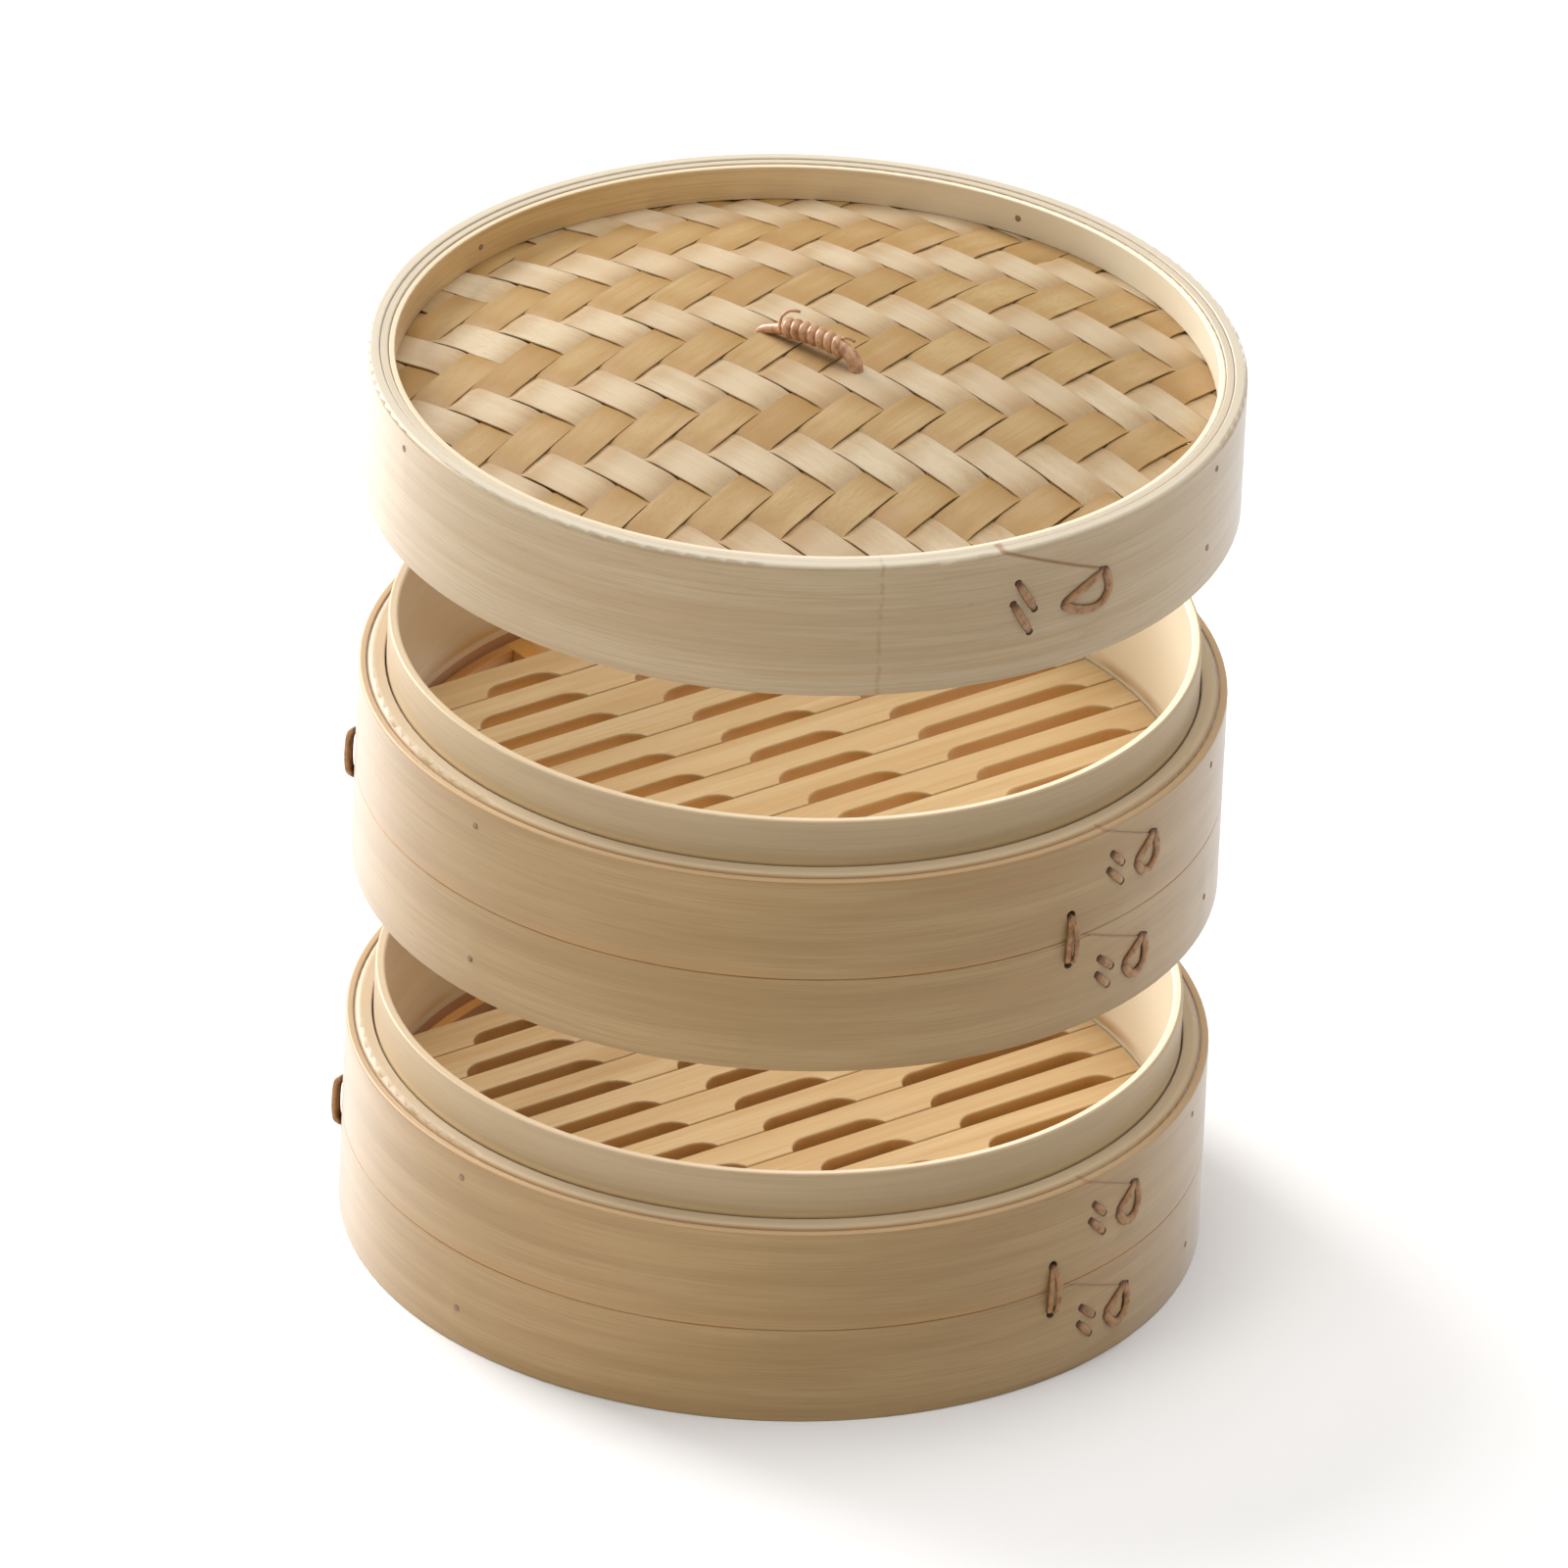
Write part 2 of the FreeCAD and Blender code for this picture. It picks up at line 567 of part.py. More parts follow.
os.makedirs("parts", exist_ok=True)
write(tier("lower"), 0)
write(tier("upper"), UPPER_TIER_Z)
write(lid(), LID_Z)
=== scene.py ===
"""Bamboo steamer basket: bamboo and cane finishes, the woven lid panel, its handle and the lacing.

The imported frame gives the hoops, slats, battens and pegs, which keep their shapes and get their finishes
here. The pieces that bend over and under each other are modelled here instead: the strips of the panel,
the wound handle and the cane that laces the bands. The file is laid out as an add-on, with one operator
for each group of pieces and one for the stage, and a panel in the sidebar that lists them. Lengths are in
metres, bearings are turned from X and azimuths from the front, about Z.
"""
import json
import math
import random
from collections import namedtuple

import bpy
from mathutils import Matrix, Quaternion, Vector

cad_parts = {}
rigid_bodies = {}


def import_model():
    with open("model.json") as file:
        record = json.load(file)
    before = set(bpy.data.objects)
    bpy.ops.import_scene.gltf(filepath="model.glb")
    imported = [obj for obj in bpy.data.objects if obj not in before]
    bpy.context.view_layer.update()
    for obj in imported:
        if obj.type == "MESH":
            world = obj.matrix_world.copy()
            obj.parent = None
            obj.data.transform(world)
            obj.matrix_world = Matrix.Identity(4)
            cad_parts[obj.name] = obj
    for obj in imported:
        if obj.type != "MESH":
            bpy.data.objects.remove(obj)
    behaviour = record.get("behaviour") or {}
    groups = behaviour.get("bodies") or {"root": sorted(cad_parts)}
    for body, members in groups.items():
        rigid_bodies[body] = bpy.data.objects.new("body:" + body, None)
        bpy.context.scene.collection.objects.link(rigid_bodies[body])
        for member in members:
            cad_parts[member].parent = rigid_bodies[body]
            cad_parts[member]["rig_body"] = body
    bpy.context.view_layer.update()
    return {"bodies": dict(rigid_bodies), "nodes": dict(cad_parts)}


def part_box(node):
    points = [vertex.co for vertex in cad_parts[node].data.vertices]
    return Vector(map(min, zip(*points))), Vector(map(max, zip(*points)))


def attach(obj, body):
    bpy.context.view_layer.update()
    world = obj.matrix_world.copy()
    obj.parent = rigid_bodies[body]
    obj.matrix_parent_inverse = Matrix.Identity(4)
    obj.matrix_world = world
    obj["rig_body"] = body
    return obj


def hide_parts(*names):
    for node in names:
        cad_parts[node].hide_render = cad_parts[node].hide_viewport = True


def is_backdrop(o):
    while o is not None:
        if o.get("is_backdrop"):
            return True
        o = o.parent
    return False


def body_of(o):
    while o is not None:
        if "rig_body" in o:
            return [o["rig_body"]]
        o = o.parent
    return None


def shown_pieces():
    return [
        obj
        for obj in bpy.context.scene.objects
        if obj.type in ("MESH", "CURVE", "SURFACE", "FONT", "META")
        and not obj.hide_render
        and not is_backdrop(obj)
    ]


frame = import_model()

bl_info = {
    "name": "Bamboo steamer",
    "version": (1, 0, 0),
    "blender": (4, 5, 0),
    "location": "3D View > Sidebar > Steamer",
    "description": "Finishes and woven pieces of a two-tier bamboo steamer basket",
    "category": "Object",
}

MM = 0.001
NODES = frame["nodes"]

ROOT = "lower_basket"
TIERS = {"lower": "lower_basket", "upper": "upper_basket"}
TIER_FOOT = {tier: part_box(f"{tier}_middle_hoop")[0].z for tier in TIERS}
TIER_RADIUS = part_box("lower_bottom_band")[1].y
LIP_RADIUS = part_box("lower_inner_hoop")[1].y
MIDDLE_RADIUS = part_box("lower_middle_hoop")[1].y
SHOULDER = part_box("lower_middle_hoop")[1].z - TIER_FOOT["lower"]
TOP_BAND_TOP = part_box("lower_top_band")[1].z - TIER_FOOT["lower"]
BOTTOM_BAND_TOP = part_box("lower_bottom_band")[1].z - TIER_FOOT["lower"]
FLOOR_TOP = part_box("lower_slat_01")[1].z - TIER_FOOT["lower"]
LID_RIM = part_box("lid_outer_hoop")[1].z
LID_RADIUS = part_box("lid_outer_hoop")[1].y
LINING_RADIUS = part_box("lid_lower_lining")[1].y
PANEL_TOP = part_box("lid_light_strips")[1].z
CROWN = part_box("lid_golden_strips")[1].z
SLAT_BEARING = math.radians(37.0)

# Lapped ends as two places, each an azimuth in degrees and a drop from the band's top, and a joint's azimuth
TOP_LAP = ((46.2, 0.0), (57.0, 10.5 * MM))
BOTTOM_LAP = ((43.5, 0.0), (55.0, 10.5 * MM))
LID_LAP = ((27.2, 0.0), (44.0, 15.5 * MM))
JOINT_SCAR = 11.0

# How far behind a face, past the lip and under the floor a wall takes the colour of that place, which under
# the floor is painted shade
FACE_DEPTH = 0.8 * MM
LIP_REACH = 0.5 * MM
RECESS = 1.5 * MM

# Noise of the grain: size along and across the fibres, seed, detail, and where its spots start and are full
Pattern = namedtuple("Pattern", "along across seed detail low high")
BANDS = Pattern(110 * MM, 6 * MM, 3.1, 2.0, 0.34, 0.68)
FIBRES = Pattern(30 * MM, 0.42 * MM, 11.7, 2.0, 0.42, 0.68)
DASHES = Pattern(6 * MM, 0.30 * MM, 23.9, 1.0, 0.60, 0.76)
STREAKS = Pattern(150 * MM, 2.0 * MM, 41.3, 2.0, 0.57, 0.72)
SEAM_PATCHES = Pattern(45 * MM, 9 * MM, 61.0, 2.0, 0.28, 0.55)
SCAR_WAVER = Pattern(8 * MM, 3 * MM, 77.0, 2.0, 0.0, 1.0)
SCAR_BLOTCHES = Pattern(3 * MM, 3 * MM, 83.0, 2.0, 0.42, 0.6)
BRUISES = Pattern(9 * MM, 5 * MM, 97.0, 2.0, 0.70, 0.80)
ROSY_PATCHES = Pattern(40 * MM, 9 * MM, 131.0, 2.0, 0.52, 0.72)
SCAR_SWAY = 0.02
FIBRE_DEPTH = 0.08 * MM

# The sawn sides of a slat, darker both in their own colour and as painted shade in the slots between slats,
# from the first of these below its top to the second
SLAT_SIDE = 12 * MM
SLAT_EDGE = 0.9 * MM

# The weave repeats every four strips: where the light ones are on top, and each layer's floats, as the place
# of their middle in the repeat and the share of painted highlight on that middle
WEAVE_REPEAT = 4.0
LIGHT_ON_TOP = (2, 3)
FLOAT_SPREAD = 17.3
LIGHT_FLOATS = (2.5, 0.3)
GOLDEN_FLOATS = (0.5, 0.04)

# Shares of red, green and blue that darken or warm a colour, among them the tone of the painted shade at the
# ends of woven floats and of the painted highlight on their middles
FIBRE_TONE = (0.84, 0.75, 0.62)
STRIP_TONE = (0.92, 0.86, 0.8)
DEEP_AND_SHADE_TONE = (0.80, 0.68, 0.50)
HIGHLIGHT_TONE = (1.0, 0.96, 0.86)
CANE_TONE = (0.50, 0.40, 0.34)
HIGHLIGHT_GAP = 0.72

# Cane: its dark clouds, its fibres and, as heights over the wall, how it fades into the painted shade of a
# hole
CLOUD_SIZE = 2.2 * MM
CLOUD_SHIFT = 2.0
CLOUD_DEPTH = 0.15 * MM
CANE_FIBRE_SIZE = 0.35 * MM
CANE_FIBRE_SHIFT = 9.0
HOLE_SHADE_FADE = (0.45 * MM, 1.2 * MM)

# Stage: softboxes by place, size and colour, and what the camera looks at
SOFTBOXES = {
    "key": ((-1.32, 1.26, 0.85), 1.0, (1.0, 0.98, 0.96)),
    "fill": ((-1.6, -1.2, 0.55), 1.0, (1.0, 0.97, 0.92)),
    "side": ((1.9, 0.1, 0.6), 1.0, (1.0, 0.97, 0.90)),
    "top": ((0.0, 0.2, 2.3), 3.0, (1.0, 1.0, 1.0)),
}
CAMERA_TARGET = (-1.2 * MM, 0.0, 141.5 * MM)
FLOOR_GAP = 0.2 * MM
FLOOR_TINT = (0.9, 0.9, 0.9)
WORLD_TINT = (1.0, 1.0, 1.0)
WORLD_STRENGTH = 0.15


# Modelling helpers


def select_only(piece):
    """Leaves one piece selected and active."""
    bpy.ops.object.select_all(action="DESELECT")
    piece.select_set(True)
    bpy.context.view_layer.objects.active = piece


def added(name):
    """Names the piece that a primitive operator has just added, and leaves only it selected."""
    piece = bpy.context.object
    piece.name = name
    piece.data.name = name
    select_only(piece)
    return piece


def settle(piece):
    """Moves a piece's place, turn and scale into its mesh."""
    select_only(piece)
    bpy.ops.object.transform_apply(location=True, rotation=True, scale=True)
    return piece


def finished_with(piece, kind, **settings):
    """Adds a modifier to a piece and applies it."""
    select_only(piece)
    modifier = piece.modifiers.new(kind.title(), kind)
    for name, value in settings.items():
        setattr(modifier, name, value)
    bpy.ops.object.modifier_apply(modifier=modifier.name)
    return piece


def edit_all(piece):
    """Puts a piece in edit mode with all of it selected."""
    select_only(piece)
    bpy.ops.object.mode_set(mode="EDIT")
    bpy.ops.mesh.select_all(action="SELECT")


def end_edit():
    """Leaves edit mode."""
    bpy.ops.object.mode_set(mode="OBJECT")


def pick_vertices(piece, wanted):
    """Selects the vertices of a mesh whose place passes a test, and leaves the piece in edit mode."""
    bpy.ops.object.mode_set(mode="EDIT")
    bpy.ops.mesh.select_mode(type="VERT")
    bpy.ops.mesh.select_all(action="DESELECT")
    end_edit()
    for vertex in piece.data.vertices:
        vertex.select = wanted(vertex.co)
    bpy.ops.object.mode_set(mode="EDIT")


def joined(name, parts):
    """Joins pieces into one."""
    select_only(parts[0])
    for part in parts[1:]:
        part.select_set(True)
    if len(parts) > 1:
        bpy.ops.object.join()
    return added(name)


def smooth(piece, degrees=40):
    """Shades a piece smooth across edges blunter than an angle."""
    select_only(piece)
    bpy.ops.object.shade_smooth_by_angle(angle=math.radians(degrees))
    return piece


def dress(piece, finish):
    """Puts a finish on every face of a piece."""
    piece.data.materials.clear()
    piece.data.materials.append(finish)
    return piece


def dress_node(node, finish):
    """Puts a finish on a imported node, in each of its object's material slots."""
    for slot in NODES[node].material_slots:
        slot.link = "OBJECT"
        slot.material = finish


# Finish helpers


class Finish:
    """A material as it is built up, one node after another."""

    def __init__(self, name, roughness, specular=0.35):
        self.material = bpy.data.materials.new(name)
        self.material.use_nodes = True
        self.tree = self.material.node_tree
        self.shader = self.tree.nodes["Principled BSDF"]
        self.shader.inputs["Roughness"].default_value = roughness
        self.shader.inputs["Specular IOR Level"].default_value = specular
        self.place = self.node("ShaderNodeTexCoord").outputs["Object"]
        self.colour = None
        self.relief = None

    def node(self, kind, inputs=None, **settings):
        """Adds a node, sets it and feeds its inputs."""
        made = self.tree.nodes.new(kind)
        for name, value in settings.items():
            setattr(made, name, value)
        for name, value in (inputs or {}).items():
            if isinstance(value, bpy.types.NodeSocket):
                self.tree.links.new(value, made.inputs[name])
            else:
                made.inputs[name].default_value = value
        return made

    def math(self, operation, first, second=0.0):
        """Result of a sum on one or two numbers."""
        return self.node("ShaderNodeMath", {0: first, 1: second}, operation=operation).outputs[0]

    def times(self, *numbers):
        """Product of two numbers or more."""
        product = numbers[0]
        for number in numbers[1:]:
            product = self.math("MULTIPLY", product, number)
        return product

    def rest(self, value):
        """What a value leaves of 1."""
        return self.math("SUBTRACT", 1.0, value)

    def over(self, value, edge):
        """1 above an edge and 0 below it."""
        return self.math("GREATER_THAN", value, edge)

    def under(self, value, edge):
        """1 below an edge and 0 above it."""
        return self.math("LESS_THAN", value, edge)

    def span(self, value, low, high):
        """Value turned to 0 at low and 1 at high, with an easy start and end."""
        inputs = {"Value": value, "From Min": low, "From Max": high}
        return self.node("ShaderNodeMapRange", inputs, interpolation_type="SMOOTHSTEP").outputs["Result"]

    def mix(self, share, first, second):
        """Blend of two colours."""
        mixer = self.node("ShaderNodeMix", {0: share, 6: first, 7: second}, data_type="RGBA")
        return mixer.outputs[2]

    def split(self, vector):
        """Three numbers of a vector."""
        return self.node("ShaderNodeSeparateXYZ", {0: vector}).outputs

    def combine(self, x, y, z):
        """Vector of three numbers."""
        return self.node("ShaderNodeCombineXYZ", {0: x, 1: y, 2: z}).outputs[0]

    def unit(self, vector):
        """Vector made one long."""
        return self.node("ShaderNodeVectorMath", {0: vector}, operation="NORMALIZE").outputs[0]

    def scaled(self, vector, factor):
        """Vector made this many times as long."""
        made = self.node("ShaderNodeVectorMath", {0: vector}, operation="SCALE")
        made.inputs["Scale"].default_value = factor
        return made.outputs[0]

    def added(self, first, second):
        """Sum of two vectors."""
        return self.node("ShaderNodeVectorMath", {0: first, 1: second}, operation="ADD").outputs[0]

    def noise(self, vector, shift, detail=2.0, roughness=0.55):
        """Cloudy noise in four dimensions, about 0.5."""
        inputs = {"Vector": vector, "W": shift, "Scale": 1.0, "Detail": detail, "Roughness": roughness}
        return self.node("ShaderNodeTexNoise", inputs, noise_dimensions="4D").outputs[0]

    def dice(self, number):
        """Chance value between 0 and 1 for each whole number."""
        return self.node("ShaderNodeTexWhiteNoise", {"W": number}, noise_dimensions="1D").outputs["Value"]

    def stain(self, mask, share, colour=None):
        """Stains the colour so far where a mask is 1, with brown unless another colour is given."""
        stain = opaque(colour or colours().stain)
        self.colour = self.mix(self.times(mask, share), self.colour, stain)

    def close(self, depth, strength=0.6):
        """Feeds the colour and the relief to the shader and gives the material."""
        inputs = {"Strength": strength, "Distance": depth, "Height": self.relief}
        bump = self.node("ShaderNodeBump", inputs)
        self.tree.links.new(self.colour, self.shader.inputs["Base Color"])
        self.tree.links.new(bump.outputs["Normal"], self.shader.inputs["Normal"])
        return self.material


def opaque(colour):
    """Colour with full alpha."""
    return (*colour, 1.0)


def toned(colour, shares):
    """Colour with each of its channels taken down to a share."""
    return [channel * share for channel, share in zip(colour, shares)]


class Grain:
    """Noise drawn out along the fibres of a finish."""

    def spots(self, pattern):
        """1 inside the spots of a pattern, falling to 0 between them."""
        return self.finish.span(self.noise(pattern), pattern.low, pattern.high)


class HoopGrain(Grain):
    """Grain that runs round the axis, as the fibres do in a bent strip."""

    def __init__(self, finish):
        self.finish = finish
        x, y, self.height = finish.split(finish.place)
        self.turn = finish.unit(finish.combine(x, y, 0.0))
        squares = finish.math("ADD", finish.times(x, x), finish.times(y, y))
        self.radius = finish.math("SQRT", squares)

    def noise(self, pattern):
        """Noise of a pattern, round the axis."""
        finish = self.finish
        turned = finish.scaled(self.turn, TIER_RADIUS / pattern.along)
        lift = finish.combine(0.0, 0.0, finish.math("DIVIDE", self.height, pattern.across))
        depth = finish.math("DIVIDE", self.radius, pattern.across)
        shift = finish.math("ADD", depth, pattern.seed)
        return finish.noise(finish.added(turned, lift), shift, pattern.detail)

    def past(self, azimuth):
        """Sine of the angle from an azimuth on to a point, and 1 if the point is in front of the axis."""
        finish = self.finish
        turn = math.radians(azimuth)
        x, y, _ = finish.split(self.turn)
        sine = finish.math("ADD", finish.times(x, math.cos(turn)), finish.times(y, math.sin(turn)))
        return sine, finish.under(y, 0.0)

    def mark(self, start, end, width):
        """1 along a straight mark on the wall between two places, each an azimuth and a height."""
        finish = self.finish
        sine, front = self.past(end[0])
        back = finish.times(sine, -TIER_RADIUS)
        run = TIER_RADIUS * math.sin(math.radians(end[0] - start[0]))
        slope = (end[1] - start[1]) / run
        line = finish.math("SUBTRACT", end[1], finish.times(back, slope))
        off = finish.math("ABSOLUTE", finish.math("SUBTRACT", self.height, line))
        near = finish.rest(finish.span(off, 0.3 * width, width))
        past_start = finish.rest(finish.span(back, run, run + width))
        before_end = finish.span(back, -width, 0.0)
        return finish.times(near, before_end, past_start, front)

    def level(self, height, below, above):
        """1 at a height, falling to 0 this far below and above it."""
        finish = self.finish
        rise = finish.span(self.height, height - below, height)
        fall = finish.span(self.height, height, height + above)
        return finish.times(rise, finish.rest(fall))

    def upright(self, azimuth, width):
        """1 along an upright line at an azimuth, wavering a little."""
        finish = self.finish
        sine, front = self.past(azimuth)
        waver = finish.math("SUBTRACT", finish.times(self.noise(SCAR_WAVER), SCAR_SWAY), SCAR_SWAY / 2)
        off = finish.math("ABSOLUTE", finish.math("ADD", sine, waver))
        near = finish.rest(finish.span(off, 0.0, width / TIER_RADIUS))
        return finish.times(near, front)


class StraightGrain(Grain):
    """Grain that runs along flat strips laid side by side, with a fresh start on each strip."""

    def __init__(self, finish, bearing, pitch, middle):
        self.finish = finish
        inputs = {"Vector": finish.place, "Rotation": (0.0, 0.0, -bearing)}
        turned = finish.node("ShaderNodeMapping", inputs).outputs[0]
        self.along, self.across, self.height = finish.split(turned)
        number = finish.math("DIVIDE", finish.math("SUBTRACT", self.across, middle), pitch)
        self.strip = finish.math("ROUND", number)

    def band(self, low, high, fade=0.3 * MM):
        """1 between two heights, with a soft upper end."""
        finish = self.finish
        fall = finish.span(self.height, high - fade, high + fade)
        return finish.times(finish.over(self.height, low), finish.rest(fall))

    def noise(self, pattern, strip_step=5.37):
        """Noise of a pattern, along the strips."""
        finish = self.finish
        sizes = ((self.along, pattern.along), (self.across, pattern.across), (self.height, pattern.across))
        x, y, z = (finish.math("DIVIDE", value, size) for value, size in sizes)
        shift = finish.math("ADD", finish.times(self.strip, strip_step), pattern.seed)
        return finish.noise(finish.combine(x, y, z), shift, pattern.detail)


def bamboo_colour(finish, grain, pale, honey, streak_share):
    """Gives a finish the look of split bamboo: soft bands, fine fibres, dark dashes and brown streaks."""
    tints = colours()
    fibres = grain.noise(FIBRES)
    dashes = grain.noise(DASHES)
    fibre_spots = finish.span(fibres, FIBRES.low, FIBRES.high)
    dash_spots = finish.span(dashes, DASHES.low, DASHES.high)
    finish.colour = finish.mix(grain.spots(BANDS), opaque(pale), opaque(honey))
    finish.stain(fibre_spots, share=0.45, colour=toned(honey, FIBRE_TONE))
    finish.stain(dash_spots, share=0.22)
    finish.stain(grain.spots(STREAKS), streak_share, tints.streak)
    finish.relief = finish.math("SUBTRACT", fibres, finish.times(dashes, 0.5))


# Settings


def length(name, words, default):
    """Length setting."""
    return bpy.props.FloatProperty(
        name=name, description=words, default=default, unit="LENGTH", precision=5
    )


def tint(name, words, default):
    """Colour setting."""
    return bpy.props.FloatVectorProperty(
        name=name, description=words, default=default, size=3, subtype="COLOR", min=0.0, max=1.0
    )


def angle(name, words, default):
    """Angle setting, given in degrees."""
    return bpy.props.FloatProperty(
        name=name, description=words, default=math.radians(default), subtype="ANGLE"
    )


def power(name, words, default):
    """Light setting in watts."""
    return bpy.props.FloatProperty(name=name, description=words, default=default, unit="POWER")


class BambooColours(bpy.types.PropertyGroup):
    """Colours of the bamboo and the cane."""

    wall_pale: tint("Wall, pale", "Planed wall strips at their palest", (0.425, 0.277, 0.116))
    wall_honey: tint("Wall, honey", "Planed wall strips at their darkest", (0.358, 0.219, 0.080))
    lid_pale: tint("Lid wall, pale", "Walls of the lid at their palest", (0.53, 0.40, 0.238))
    lid_honey: tint("Lid wall, honey", "Walls of the lid at their darkest", (0.465, 0.33, 0.18))
    lining_pale: tint("Lining, pale", "Lid linings at their palest", (0.78, 0.545, 0.25))
    lining_honey: tint("Lining, honey", "Lid linings at their darkest", (0.70, 0.45, 0.18))
    # Painted shade: the dark brown of the bamboo under the floor, in the shade of the slats
    under_floor_shade: tint("Hollow", "Bamboo under the floor", (0.30, 0.115, 0.030))
    bruise: tint("Bruise", "Grey marks on the lid", (0.25, 0.19, 0.12))
    # Own colour of the sawn sides, darkened as painted shade of the slots; also used for the battens and the
    # ledge
    slat_side_and_shade: tint("Slat, side", "Sawn sides of the slats", (0.52, 0.26, 0.065))
    # Pale tone of the insides, also used as painted light on their right side and on the lip
    inner_pale_and_light: tint("Inner face, pale", "Inside of the tiers at its palest", (0.86, 0.795, 0.62))
    # These two whiten the tops of the hoops: partly the paler cut edge, partly painted light falling from
    # above
    planed_and_top_light: tint("Planed edge", "Top edges of the tiers' hoops", (0.76, 0.68, 0.52))
    planed_lid_and_top_light: tint("Planed edge of the lid", "Top edges of the lid's hoops", (0.70, 0.66, 0.54))
    streak: tint("Streak", "Soft streaks in the walls and the seam", (0.43, 0.24, 0.08))
    rosy: tint("Rosy patch", "Warmer patches of the woven strips", (0.52, 0.33, 0.19))
    stain: tint("Stain", "Brown streaks and pores", (0.30, 0.140, 0.040))
    slat_pale: tint("Slat, pale", "Floor slats at their palest", (0.56, 0.425, 0.235))
    slat_honey: tint("Slat, honey", "Floor slats at their darkest", (0.49, 0.34, 0.165))
    light_pale: tint("Light strip, pale", "Palest of the light woven strips", (0.55, 0.445, 0.285))
    light_honey: tint("Light strip, honey", "Darkest of the light woven strips", (0.455, 0.32, 0.18))
    golden_pale: tint("Golden strip, pale", "Palest of the golden woven strips", (0.46, 0.32, 0.145))
    golden_honey: tint("Golden strip, honey", "Darkest of the golden woven strips", (0.395, 0.245, 0.09))
    cane: tint("Cane", "Lacing and seam ties", (0.43, 0.225, 0.088))
    # Painted shade: cane darkened to almost black where it passes into its hole
    cane_hole_shade: tint("Cane, end", "Cane where it passes into a hole", (0.12, 0.048, 0.018))
    handle: tint("Handle", "Cane of the handle", (0.58, 0.33, 0.175))
    peg: tint("Peg", "Ends of the pegs", (0.34, 0.23, 0.14))


class PanelSizes(bpy.types.PropertyGroup):
    """Sizes of the woven panel."""

    pitch: length("Pitch", "From one strip to the next", 13.6 * MM)
    width: length("Width", "Width of a strip", 13.2 * MM)
    thickness: length("Thickness", "Thickness of a strip", 0.55 * MM)
    swing: length("Swing", "Height of a strip above or below the middle of the weave", 0.68 * MM)
    light_bearing: angle("Light bearing", "Direction of the light strips", -43.0)
    light_shift: length("Light shift", "Middle light strip from the axis", -1.0 * MM)
    golden_bearing: angle("Golden bearing", "Direction of the golden strips", 56.0)
    golden_shift: length("Golden shift", "Middle golden strip from the axis", -3.2 * MM)
    rise: length("Rise", "Rise of the dome over the panel's radius", 14.5 * MM)
    wander: length("Wander", "Most that a strip strays sideways", 0.18 * MM)


class StageSettings(bpy.types.PropertyGroup):
    """Camera, lights and floor."""

    camera_distance: length("Camera distance", "From the camera to the object", 8.0)
    field_width: length("Field width", "Width of the view at the object", 0.4587)
    elevation: angle("Elevation", "Angle of the camera above the horizon", 28.9)
    roll: angle("Roll", "Turn of the camera about its line of sight", 2.6)
    floor_size: length("Floor size", "Side of the floor", 9.0)
    key_power: power("Key power", "Light from the left and behind", 50.0)
    fill_power: power("Fill power", "Light from the left and in front", 10.5)
    side_power: power("Side power", "Light from the right", 6.5)
    top_power: power("Top power", "Light from above", 58.0)


def colours():
    """Colour settings of the scene."""
    return bpy.context.scene.steamer_colours


# Walls


def wall_finish(name, pale, honey, streak_share=0.35, sheen=1.0, planed_and_top_light=0.75):
    """Planed bamboo bent round the axis, as a finish under way and its grain, with faces that turn up
    whitened: partly the paler cut edge and partly painted light falling from above.
    """
    finish = Finish(name, roughness=0.45, specular=0.5)
    finish.shader.inputs["Sheen Weight"].default_value = sheen
    finish.shader.inputs["Sheen Roughness"].default_value = 0.4
    grain = HoopGrain(finish)
    bamboo_colour(finish, grain, pale, honey, streak_share)
    # Faces turned up are whitened: partly the paler cut edge, partly painted light from above
    facing = finish.split(finish.node("ShaderNodeNewGeometry").outputs["Normal"])[2]
    upward = finish.span(facing, low=0.35, high=0.95)
    finish.stain(upward, planed_and_top_light, colours().planed_and_top_light)
    return finish, grain


def painted_light_side(finish, grain):
    """1 to the right of the axis, falling to 0 on the left, where painted light stands for the key light
    that falls on the inside from the back left.
    """
    return finish.span(finish.split(grain.turn)[0], low=-0.6, high=0.9)


